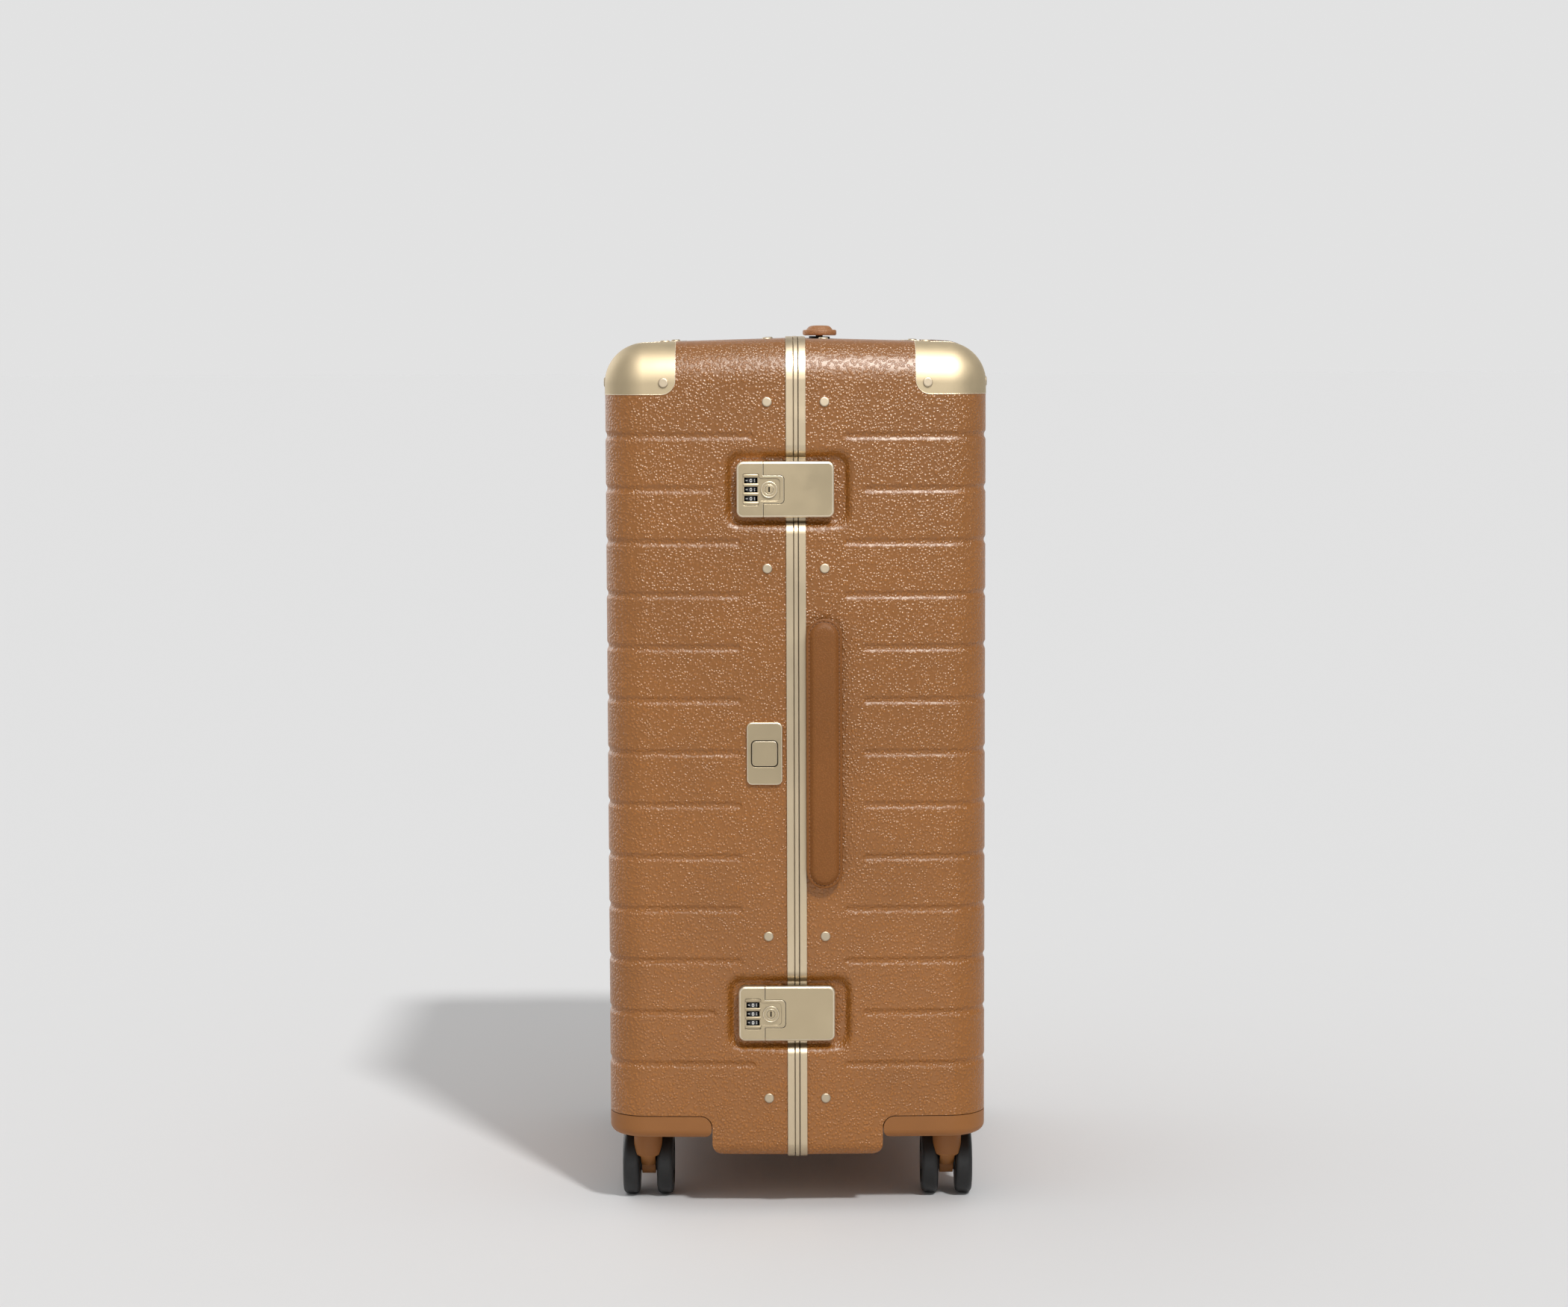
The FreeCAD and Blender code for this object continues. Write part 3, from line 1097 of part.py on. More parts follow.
def side_handle_place():
    """Placement of the side handle: straight out of the front, level with the skin at the seam."""
    return placed(Vector(SIDE_HANDLE_X, FRONT_Y, MID_Z), Vector(1, 0, 0), UP)


def top_handle_place():
    """Placement of the top handle: straight up from the top skin at the seam."""
    return placed(Vector(TOP_HANDLE_X, CENTRE_Y, BODY_TOP), Vector(1, 0, 0), Vector(0, 1, 0))


def guide_blocks(wall):
    """Outsides of the four handle guides, with a wall round each leg."""
    half_x = LEG_T / 2 + LEG_FIT + wall
    half_y = LEG_W / 2 + LEG_FIT + wall
    blocks = []
    for place, leg_at in ((side_handle_place(), SIDE_LEG), (top_handle_place(), TOP_LEG)):
        for y in (-leg_at, leg_at):
            block = box(-half_x, half_x, y - half_y, y + half_y, -GUIDE_IN, GUIDE_PROUD)
            blocks.append(moved(block, place))
    return blocks


def handle_guides():
    """Base plate under each handle, joined to the guides that its two legs slide in."""
    blocks = guide_blocks(GUIDE_WALL)
    places = [(on_wall(BASE, "front", SIDE_HANDLE_X, MID_Z), SIDE_LEG),
              (on_wall(BASE, "top", TOP_HANDLE_X, CENTRE_Y), TOP_LEG)]
    solids = []
    for i, (place, leg_at) in enumerate(places):
        plate = stadium(2 * (leg_at + PLATE_PAST), 2 * PLATE_HALF, PLATE_GAP, PLATE_GAP + PLATE_T)
        solid = moved(plate, place).fuse(blocks[2 * i:2 * i + 2]).removeSplitter()
        solids.append(solid.cut(guide_bores()))
    return Part.makeCompound(solids)


def guide_bores():
    """Bores of the guides, closed at their inner ends."""
    half_x = LEG_T / 2 + LEG_FIT
    half_y = LEG_W / 2 + LEG_FIT
    bores = []
    for place, leg_at in ((side_handle_place(), SIDE_LEG), (top_handle_place(), TOP_LEG)):
        for y in (-leg_at, leg_at):
            bore = box(-half_x, half_x, y - half_y, y + half_y, -LEG_IN - LEG_FIT, HANDLE_GAP)
            bores.append(moved(bore, place))
    return bores


def well_prism(grow, bottom):
    """Upright prism of the pull handle's well, from a height to above the top."""
    return rounded_box((PULL_CENTRE_X - CUP_HALF - grow, PULL_CENTRE_X + CUP_HALF + grow,
                        CENTRE_Y - CUP_L - grow, CENTRE_Y + CUP_L + grow, bottom, BODY_TOP + BLOCK_REACH),
                       CUP_R + grow, UP)


def rod_block(y, grow, z0, z1):
    """A rounded upright bar round a rod's axis."""
    half_x = ROD_X_HALF + grow
    half_y = ROD_Y_HALF + grow
    return rounded_box((PULL_CENTRE_X - half_x, PULL_CENTRE_X + half_x, y - half_y, y + half_y, z0, z1),
                       max(ROD_R + grow, ROD_INNER_R), UP)


def rod_places():
    """Depth positions of the two rods."""
    return (CENTRE_Y - ROD_Y, CENTRE_Y + ROD_Y)


def pull_cup():
    """Well of the pull handle with a lip that follows the shell's top."""
    top = shell_block(BASE, -CUP_LIP_GAP - CUP_LIP_T)
    limits = (PULL_CENTRE_X - CUP_LIP_HALF, PULL_CENTRE_X + CUP_LIP_HALF,
              CENTRE_Y - CUP_LIP_L, CENTRE_Y + CUP_LIP_L, CUP_FLOOR_Z, BODY_TOP + BLOCK_REACH)
    lip_region = rounded_box(limits, CUP_R + CUP_WALL, UP)
    lip = top.cut(shell_block(BASE, -CUP_LIP_GAP)).common(lip_region)
    walls = well_prism(CUP_WALL, CUP_FLOOR_Z - CUP_FLOOR_T).common(top)
    floor_cuts = [rod_block(y, ROD_FIT, 0, CUP_FLOOR_Z + MARGIN) for y in rod_places()]
    return lip.fuse(walls).removeSplitter().cut([well_prism(0, CUP_FLOOR_Z)] + floor_cuts)


def pull_guide_tubes():
    """Fixed tubes that the rods slide in, closed by a floor at the bottom."""
    top = CUP_FLOOR_Z - CUP_FLOOR_T
    tubes = []
    for y in rod_places():
        bore = rod_block(y, ROD_FIT, TUBE_BOTTOM + TUBE_WALL, top)
        tubes.append(rod_block(y, ROD_FIT + TUBE_WALL, TUBE_BOTTOM, top).cut(bore))
    return Part.makeCompound(tubes)


def pull_rods():
    """The two sliding rods, as tubes."""
    top = CUP_FLOOR_Z + GRIP_UNDER
    return Part.makeCompound([rod_block(y, 0, ROD_BOTTOM, top).cut(rod_block(y, -ROD_WALL, ROD_BOTTOM, top))
                              for y in rod_places()])


def button_prism(grow, bottom):
    """Upright prism of the pull handle's button."""
    half_x = PULL_BUTTON_X + grow
    half_y = PULL_BUTTON_Y + grow
    return rounded_box((PULL_CENTRE_X - half_x, PULL_CENTRE_X + half_x, CENTRE_Y - half_y, CENTRE_Y + half_y,
                        bottom, BODY_TOP + BLOCK_REACH), PULL_BUTTON_R + grow, UP)


def pull_button_bottom():
    """Lower face of the button at rest."""
    return BODY_TOP - drop(PULL_CENTRE_X) - PULL_BUTTON_T


def pull_grip():
    """Grip that fills the well, its top flush with the lip, with a well for the button."""
    body = well_prism(-GRIP_GAP, CUP_FLOOR_Z + GRIP_UNDER)
    body = body.common(shell_block(BASE, GRIP_SUNK - CUP_LIP_GAP - CUP_LIP_T))
    well_floor = pull_button_bottom() - PULL_BUTTON_TRAVEL - PULL_BUTTON_GAP
    return body.cut(button_prism(PULL_BUTTON_GAP, well_floor))


def pull_button():
    """Release button in the grip."""
    proud = GRIP_SUNK - CUP_LIP_GAP - CUP_LIP_T - PULL_BUTTON_PROUD
    return button_prism(0, pull_button_bottom()).common(shell_block(BASE, proud))


def hinge_leaves(side):
    """Three hinge leaves on one half; the base carries the outer knuckles and the pins."""
    lift = BACK_Y + BAND_PROUD
    tab_y = BACK_Y + BEAD_PROUD + LEAF_TAB_LIFT
    solids = []
    for z in HINGE_HEIGHTS:
        plate = rounded_box((side * LEAF_SEAM_X, side * LEAF_X, lift, lift + LEAF_T,
                             z - HINGE_L / 2, z + HINGE_L / 2), LEAF_R, Vector(0, 1, 0))
        spans = [(-KNUCKLE_L / 2, KNUCKLE_L / 2)]
        if side == BASE:
            spans = [(-HINGE_L / 2, -KNUCKLE_L / 2 - KNUCKLE_GAP), (KNUCKLE_L / 2 + KNUCKLE_GAP, HINGE_L / 2)]
        leaf = plate
        for low, high in spans:
            tab_x = side * (LEAF_SEAM_X + LEAF_R)
            tab = box(0, tab_x, tab_y, lift + LEAF_T, z + low, z + high)
            knuckle = Part.makeCylinder(KNUCKLE_R, high - low, Vector(0, HINGE_Y, z + low))
            leaf = leaf.fuse([tab, knuckle])
        fit = HINGE_PIN_FIT if side == LID else 0
        bore = Part.makeCylinder(HINGE_PIN_R + fit, HINGE_L, Vector(0, HINGE_Y, z - HINGE_L / 2))
        solids.append(leaf.removeSplitter().cut([bore] + [moved(rivet_hole(), p) for p in leaf_rivets(side)]))
        if side == BASE:
            solids.append(Part.makeCylinder(HINGE_PIN_R, HINGE_L, Vector(0, HINGE_Y, z - HINGE_L / 2)))
    return Part.makeCompound(solids)


def lining_tray(side, x_out, back_r):
    """Thin tray inside one half, clear of its bosses."""
    edge_r = LINING_R + LINING_INSET
    inner = LINING_INSET + LINING_T
    inner_back_r = None if back_r is None else back_r - LINING_T
    outside = shell_block(side, LINING_INSET, LINING_X, x_out, edge_r, back_r)
    inside = shell_block(side, inner, 0, x_out - LINING_T, edge_r, inner_back_r)
    return outside.cut(bosses(side, LINING_INSET)).cut(inside.cut(bosses(side, inner)))


def lid_lining():
    """Fabric-covered lining of the lid."""
    tray = lining_tray(LID, HALF_WIDTH - LINING_INSET, None)
    return tray.cut(moved(catch_hole(LINING_HOLE_GAP), catch_place()))


def base_lining():
    """Fabric-covered lining of the base in five panels; the back panel also covers the pull handle's tubes."""
    x_out = PULL_CENTRE_X - CUP_HALF - CUP_WALL - LINING_TUBE_GAP
    tray = lining_tray(BASE, x_out, LINING_BACK_R).cut(guide_blocks(GUIDE_WALL + LINING_HOLE_GAP))
    return in_panels(tray, x_out - LINING_BACK_R, LINING_PANEL)


def casters():
    """Housing, fork, axle and wheels of all four corners, by name."""
    parts = {}
    for side, half in ((LID, "lid"), (BASE, "base")):
        for end, place in ((FRONT, "front"), (REAR, "rear")):
            corner = half + "_" + place
            spot = swivel_point(side, end)
            parts["wheel_housing_" + corner] = wheel_housing(side, end)
            parts["caster_fork_" + corner] = caster_fork().translated(spot)
            parts["caster_axle_" + corner] = caster_axle().translated(spot)
            parts["wheel_" + corner + "_outer"] = wheel(side).translated(spot)
            parts["wheel_" + corner + "_inner"] = wheel(-side).translated(spot)
            parts["corner_cap_" + corner] = corner_cap(side, end)
    return parts


def locks():
    """Lock bodies, dials, key cylinders, flaps and brackets of both locks, by name."""
    parts = {}
    for name, z in LOCK_Z.items():
        parts["lock_body_" + name] = lock_body(z)
        for i, height in enumerate(dial_heights()):
            parts["dial_" + name + "_" + str(i + 1)] = dial(z, height)
        parts["key_cylinder_" + name] = key_cylinder(z)
        parts["latch_flap_" + name] = latch_flap(z)
        parts["flap_bracket_" + name] = flap_bracket(z)
    return parts


def suitcase():
    """Every piece of the case, by name."""
    parts = {"lid_shell": lid_shell(), "base_shell": base_shell(),
             "lid_frame": frame_half(LID), "base_frame": frame_half(BASE), "frame_bead": frame_bead(),
             "lid_rivets": rivets(LID), "base_rivets": rivets(BASE)}
    parts.update(casters())
    parts.update(locks())
    parts["catch_plate"] = catch_plate()
    parts["catch_button"] = catch_button()
    parts["side_handle"] = moved(handle(SIDE_HANDLE_L, SIDE_HANDLE_W, SIDE_LEG), side_handle_place())
    parts["top_handle"] = moved(handle(TOP_HANDLE_L, TOP_HANDLE_W, TOP_LEG), top_handle_place())
    parts["handle_guides"] = handle_guides()
    parts["pull_cup"] = pull_cup()
    parts["pull_guide_tubes"] = pull_guide_tubes()
    parts["pull_rods"] = pull_rods()
    parts["pull_grip"] = pull_grip()
    parts["pull_button"] = pull_button()
    parts["lid_hinge_leaves"] = hinge_leaves(LID)
    parts["base_hinge_leaves"] = hinge_leaves(BASE)
    parts["lid_lining"] = lid_lining()
    parts["base_lining"] = base_lining()
    return parts


os.makedirs("parts", exist_ok=True)
for node, shape in suitcase().items():
    shape.exportStep("parts/" + node + ".step")
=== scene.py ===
"""Looks of a tall hard-shell suitcase on four twin-wheel casters.

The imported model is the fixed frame. Each sub-assembly is a class that holds its sizes in metres, in the
frame's own axes: +X runs from the lid half to the base half, the latch side faces -Y and +Z is up.
"""

import json
import logging
import math
from dataclasses import dataclass
from enum import Enum
from typing import Iterable, Optional, Sequence, Union

import bmesh
import bpy
from mathutils import Matrix, Vector, noise

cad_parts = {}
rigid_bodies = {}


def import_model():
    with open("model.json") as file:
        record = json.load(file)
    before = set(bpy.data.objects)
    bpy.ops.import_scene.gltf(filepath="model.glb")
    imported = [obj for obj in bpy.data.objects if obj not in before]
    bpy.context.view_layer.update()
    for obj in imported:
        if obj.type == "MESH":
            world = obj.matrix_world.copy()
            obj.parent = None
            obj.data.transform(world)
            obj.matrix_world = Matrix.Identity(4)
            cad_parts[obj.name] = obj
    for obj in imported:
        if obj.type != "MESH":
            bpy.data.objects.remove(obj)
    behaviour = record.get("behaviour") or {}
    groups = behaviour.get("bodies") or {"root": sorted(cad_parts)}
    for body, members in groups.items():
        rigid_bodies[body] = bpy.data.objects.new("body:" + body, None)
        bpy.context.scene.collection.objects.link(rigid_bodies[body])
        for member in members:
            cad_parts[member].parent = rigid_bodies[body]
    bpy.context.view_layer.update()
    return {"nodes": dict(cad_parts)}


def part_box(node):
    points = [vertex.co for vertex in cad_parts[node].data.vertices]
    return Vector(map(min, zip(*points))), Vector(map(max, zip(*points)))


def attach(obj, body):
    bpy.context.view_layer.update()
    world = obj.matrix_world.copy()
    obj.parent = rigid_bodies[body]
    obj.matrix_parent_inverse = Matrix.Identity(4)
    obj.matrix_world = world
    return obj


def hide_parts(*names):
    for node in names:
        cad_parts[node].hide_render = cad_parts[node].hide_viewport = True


LOG = logging.getLogger("suitcase")

# Distance within which points of a mesh count as one
MERGE = 1e-6
# Range that most values of a noise lie in
NOISE_BODY = (0.3, 0.7)
# Share of a face's normal that points to the front, from a steep rounded edge to a flat face; faces between
# get the painted edge highlight
EDGE_TURN = (0.1, 0.985)
# Depth of the rounded front edges of the centre catch
CATCH_BEVEL = 0.0014

FRONT = Vector((0.0, -1.0, 0.0))
REAR = Vector((0.0, 1.0, 0.0))
UP = Vector((0.0, 0.0, 1.0))

Colour = tuple[float, float, float]
Tint = tuple[float, float, float, float]
Span = tuple[float, float]
Value = Union[float, int, tuple, bpy.types.NodeSocket]


class Slot(Enum):
    """Material slots of the record."""

    METAL = "metal"
    DIAL = "dial"
    LEATHER = "leather"
    TRIM = "trim"
    LINING = "lining"


class Half(Enum):
    """The two halves of the case."""

    LID = "lid"
    BASE = "base"


def shade(red: int, green: int, blue: int) -> Colour:
    """Turn display values into a linear colour.

    Args:
        red: Red from 0 to 255.
        green: Green from 0 to 255.
        blue: Blue from 0 to 255.

    Returns:
        The same colour in linear light.
    """

    def linear(value: int) -> float:
        """One channel in linear light."""
        part = value / 255
        return part / 12.92 if part <= 0.04045 else ((part + 0.055) / 1.055) ** 2.4

    return linear(red), linear(green), linear(blue)


# Materials


class Nodes:
    """A node tree, with short calls that add nodes and join them."""

    def __init__(self, tree: bpy.types.NodeTree) -> None:
        """Take over a tree and empty it."""
        self.tree = tree
        self.tree.nodes.clear()

    def add(self, kind: str, inputs: Optional[dict] = None, **settings: object) -> bpy.types.Node:
        """Add a node.

        Args:
            kind: Type name of the node.
            inputs: Values or sockets for its inputs, by name or number.
            **settings: Properties of the node.

        Returns:
            The new node.
        """
        node = self.tree.nodes.new(kind)
        for key, value in settings.items():
            setattr(node, key, value)
        for key, value in (inputs or {}).items():
            self.feed(node.inputs[key], value)
        return node

    def feed(self, socket: bpy.types.NodeSocket, value: Value) -> None:
        """Join a socket to an input, or set the input to a value.

        Args:
            socket: The input.
            value: What it gets.
        """
        if isinstance(value, bpy.types.NodeSocket):
            self.tree.links.new(value, socket)
        else:
            socket.default_value = value

    def reckon(self, operation: str, *values: Value) -> bpy.types.NodeSocket:
        """Result of a Math node on the given values."""
        node = self.add("ShaderNodeMath", dict(enumerate(values)), operation=operation)
        return node.outputs["Value"]

    def spread(self, value: Value, old: Span, new: Span, kind: str = "SMOOTHSTEP") -> bpy.types.NodeSocket:
        """Map a value from one range to another, and hold it there beyond its ends.

        Args:
            value: Socket to map.
            old: Range that it comes in.
            new: Range that it leaves in.
            kind: Way in which it runs between the ends.

        Returns:
            The mapped value.
        """
        inputs = {"Value": value, "From Min": old[0], "From Max": old[1], "To Min": new[0], "To Max": new[1]}
        return self.add("ShaderNodeMapRange", inputs, interpolation_type=kind).outputs["Result"]


class Surface(Nodes):
    """A material's node tree."""

    def __init__(self, name: str) -> None:
        """Start a material that has a shader, an output and the object's own coordinates.

        Args:
            name: Name of the material.
        """
        self.material = bpy.data.materials.new(name)
        self.material.use_nodes = True
        super().__init__(self.material.node_tree)
        self.shader = self.add("ShaderNodeBsdfPrincipled")
        self.add("ShaderNodeOutputMaterial", {"Surface": self.shader.outputs["BSDF"]})
        self.place = self.add("ShaderNodeTexCoord").outputs["Object"]

    def scaled(self, factors: Sequence[float]) -> bpy.types.NodeSocket:
        """Object coordinates multiplied axis by axis."""
        node = self.add("ShaderNodeVectorMath", {0: self.place, 1: tuple(factors)}, operation="MULTIPLY")
        return node.outputs["Vector"]

    def speckle(self, scale: float, detail: float = 2.0) -> bpy.types.Node:
        """Add a noise texture.

        Args:
            scale: Features per metre.
            detail: Octaves.

        Returns:
            The noise node.
        """
        return self.add("ShaderNodeTexNoise", {"Vector": self.place, "Scale": scale, "Detail": detail})

    def tinted(self, dark: Colour, light: Colour, factor: bpy.types.NodeSocket) -> bpy.types.NodeSocket:
        """Blend of two colours by a factor."""
        inputs = {0: factor, 6: (*dark, 1.0), 7: (*light, 1.0)}
        return self.add("ShaderNodeMix", inputs, data_type="RGBA").outputs[2]

    def mottled(self, colour: bpy.types.NodeSocket, scale: float, amount: float) -> bpy.types.NodeSocket:
        """Make a colour lighter and darker in soft patches.

        Args:
            colour: The even colour.
            scale: Patches per metre.
            amount: Share by which it goes up and down.

        Returns:
            The uneven colour.
        """
        cloud = self.speckle(scale, detail=3.0).outputs["Fac"]
        level = self.spread(cloud, NOISE_BODY, (1.0 - amount, 1.0 + amount))
        node = self.add("ShaderNodeVectorMath", {0: colour, "Scale": level}, operation="SCALE")
        return node.outputs["Vector"]

    def relief(self, height: bpy.types.NodeSocket, depth: float, strength: float = 1.0,
               edge: float = 0.0) -> None:
        """Give the shader's normal a bump.

        Args:
            height: Height of the surface from 0 to 1.
            depth: Height of a full step in metres.
            strength: Share of the bump that shows.
            edge: Radius to which sharp edges look rounded.
        """
        bump = self.add("ShaderNodeBump", {"Height": height, "Distance": depth, "Strength": strength})
        if edge > 0.0:
            round_edge = self.add("ShaderNodeBevel", {"Radius": edge}, samples=6)
            self.feed(bump.inputs["Normal"], round_edge.outputs["Normal"])
        self.feed(self.shader.inputs["Normal"], bump.outputs["Normal"])

    def done(self, **sockets: Value) -> bpy.types.Material:
        """Set the shader's inputs, named with underscores for spaces, and hand over the material."""
        for key, value in sockets.items():
            self.feed(self.shader.inputs[key.replace("_", " ")], value)
        return self.material


@dataclass(frozen=True)
class Finish:
    """What every finish has: a name, a main colour and how matt it is."""

    name: str
    colour: Colour
    roughness: float

    def toned(self, share: float) -> Colour:
        """The main colour at a share of its brightness."""
        return tuple(share * part for part in self.colour)

    def around(self, smoother: float, rougher: float) -> Span:
        """Range of roughness round the finish's own."""
        return self.roughness - smoother, self.roughness + rougher


@dataclass(frozen=True)
class GrainedSkin(Finish):
    """Leather-look skin of small domes that run together along drifting lines, with fine pores over them; its
    colour is darker in the creases and lighter on the dome tops, as painted shade and painted light.
    """

    pebbles: float = 390.0
    depth: float = 0.0005
    dome: Span = (0.05, 0.7)
    # Colour shares in the creases (painted shade) and on the dome tops (painted light)
    crease: float = 0.84
    crown: float = 1.06
    crease_matt: float = 0.15
    drift: float = 0.006
    drift_cells: float = 6.0
    pores: float = 5.0
    pore_height: float = 0.1
    patches: float = 11.0
    patchy: float = 0.05
    gloss: float = 0.4
    gleam: Tint = (1.0, 0.94, 0.84, 1.0)
    coat: float = 0.0
    coat_matt: float = 0.36

    def material(self) -> bpy.types.Material:
        """Build the material."""
        surface = Surface(self.name)
        drift = surface.speckle(self.pebbles / self.drift_cells).outputs["Color"]
        bend = {0: drift, 1: (self.drift,) * 3, 2: surface.place}
        bent = surface.add("ShaderNodeVectorMath", bend, operation="MULTIPLY_ADD").outputs["Vector"]
        cells = surface.add("ShaderNodeTexVoronoi", {"Vector": bent, "Scale": self.pebbles}, feature="F1")
        dome = surface.spread(cells.outputs["Distance"], self.dome, (1.0, 0.0))
        pores = surface.speckle(self.pebbles * self.pores).outputs["Fac"]
        surface.relief(surface.reckon("MULTIPLY_ADD", pores, self.pore_height, dome), self.depth)
        # Painted shade in the creases and painted light on the dome tops
        colour = surface.tinted(self.toned(self.crease), self.toned(self.crown), dome)
        colour = surface.mottled(colour, self.patches, self.patchy)
        matt = surface.spread(dome, (0.0, 1.0), (self.roughness + self.crease_matt, self.roughness))
        return surface.done(
            Base_Color=colour, Roughness=matt, Specular_IOR_Level=self.gloss, Specular_Tint=self.gleam,
            Coat_Weight=self.coat, Coat_Roughness=self.coat_matt,
        )


@dataclass(frozen=True)
class MouldedPlastic(Finish):
    """Moulded plastic with a fine spark-eroded texture, painted darker in its low spots and lighter on its
    high spots as shade and light.
    """

    texture: float = 1500.0
    depth: float = 0.00006
    edge: float = 0.0005
    # Colour shares in the texture's low spots (painted shade) and high spots (painted light)
    hollow: float = 0.9
    crest: float = 1.08
    patches: float = 14.0
    patchy: float = 0.05
    smoother: float = 0.05
    rougher: float = 0.08
    gloss: float = 0.3

    def material(self) -> bpy.types.Material:
        """Build the material."""
        surface = Surface(self.name)
        grain = surface.speckle(self.texture, detail=3.0).outputs["Fac"]
        surface.relief(grain, self.depth, edge=self.edge)
        # Painted shade and light that follow the texture's height
        colour = surface.tinted(self.toned(self.hollow), self.toned(self.crest), grain)
        colour = surface.mottled(colour, self.patches, self.patchy)
        matt = surface.spread(grain, NOISE_BODY, self.around(self.smoother, self.rougher))
        return surface.done(Base_Color=colour, Roughness=matt, Specular_IOR_Level=self.gloss)


@dataclass(frozen=True)
class SatinMetal(Finish):
    """Bead-blasted anodised metal."""

    grain: float = 3200.0
    depth: float = 0.000012
    edge: float = 0.0006
    smudges: float = 26.0
    dull: float = 0.94
    clear: float = 1.05
    smoother: float = 0.04
    rougher: float = 0.05

    def material(self) -> bpy.types.Material:
        """Build the material."""
        surface = Surface(self.name)
        grain = surface.speckle(self.grain).outputs["Fac"]
        surface.relief(grain, self.depth, edge=self.edge)
        smudge = surface.speckle(self.smudges, detail=4.0).outputs["Fac"]
        colour = surface.tinted(self.toned(self.dull), self.toned(self.clear), smudge)
        matt = surface.spread(smudge, NOISE_BODY, self.around(self.smoother, self.rougher))
        return surface.done(Base_Color=colour, Roughness=matt, Metallic=1.0)


@dataclass(frozen=True)
class TreadRubber(Finish):
    """Black rubber with a little dust."""

    grain: float = 1800.0
    depth: float = 0.00005
    dust: float = 1.9
    dust_patches: float = 70.0
    dust_range: Span = (0.45, 0.8)
    uneven: float = 0.08

    def material(self) -> bpy.types.Material:
        """Build the material."""
        surface = Surface(self.name)
        grain = surface.speckle(self.grain, detail=3.0).outputs["Fac"]
        surface.relief(grain, self.depth)
        patches = surface.speckle(self.dust_patches, detail=5.0).outputs["Fac"]
        dust = surface.spread(patches, self.dust_range, (0.0, 1.0))
        colour = surface.tinted(self.colour, self.toned(self.dust), dust)
        matt = surface.spread(grain, NOISE_BODY, self.around(self.uneven, self.uneven))
        return surface.done(Base_Color=colour, Roughness=matt)


@dataclass(frozen=True)
class SewnThread(Finish):
    """Twisted sewing thread."""

    twists: float = 900.0
    depth: float = 0.00008
    hollow: float = 0.7

    def material(self) -> bpy.types.Material:
        """Build the material."""
        surface = Surface(self.name)
        wave = {"Vector": surface.place, "Scale": self.twists}
        twist = surface.add("ShaderNodeTexWave", wave).outputs["Fac"]
        surface.relief(twist, self.depth)
        # Darker between the twists: painted shade
        colour = surface.tinted(self.toned(self.hollow), self.colour, twist)
        return surface.done(Base_Color=colour, Roughness=self.roughness)


@dataclass(frozen=True)
class WovenCloth(Finish):
    """Plain woven lining cloth."""

    threads: float = 1100.0
    depth: float = 0.00012
    wave: float = 0.2
    mean: float = 0.5
    hollow: float = 0.72
    patches: float = 30.0
    patchy: float = 0.06
    fuzz: float = 0.25

    def material(self) -> bpy.types.Material:
        """Build the material."""
        surface = Surface(self.name)
        turns = 2.0 * math.pi * self.threads
        waves = surface.add("ShaderNodeVectorMath", {0: surface.scaled((turns,) * 3)}, operation="SINE")
        parts = {0: waves.outputs["Vector"], 1: (self.wave,) * 3}
        height = surface.add("ShaderNodeVectorMath", parts, operation="DOT_PRODUCT").outputs["Value"]
        weave = surface.reckon("ADD", height, self.mean)
        surface.relief(weave, self.depth)
        # Darker where the weave dips between the threads: painted shade
        colour = surface.tinted(self.toned(self.hollow), self.colour, weave)
        colour = surface.mottled(colour, self.patches, self.patchy)
        return surface.done(Base_Color=colour, Roughness=self.roughness, Sheen_Weight=self.fuzz)


@dataclass(frozen=True)
class Lacquer(Finish):
    """Paint with a faint orange-peel texture."""

    peel: float = 900.0
    depth: float = 0.00002
    hollow: float = 0.93

    def material(self) -> bpy.types.Material:
        """Build the material."""
        surface = Surface(self.name)
        peel = surface.speckle(self.peel).outputs["Fac"]
        surface.relief(peel, self.depth)
        # Darker in the low spots of the peel: painted shade
        colour = surface.tinted(self.toned(self.hollow), self.colour, peel)
        return surface.done(Base_Color=colour, Roughness=self.roughness)


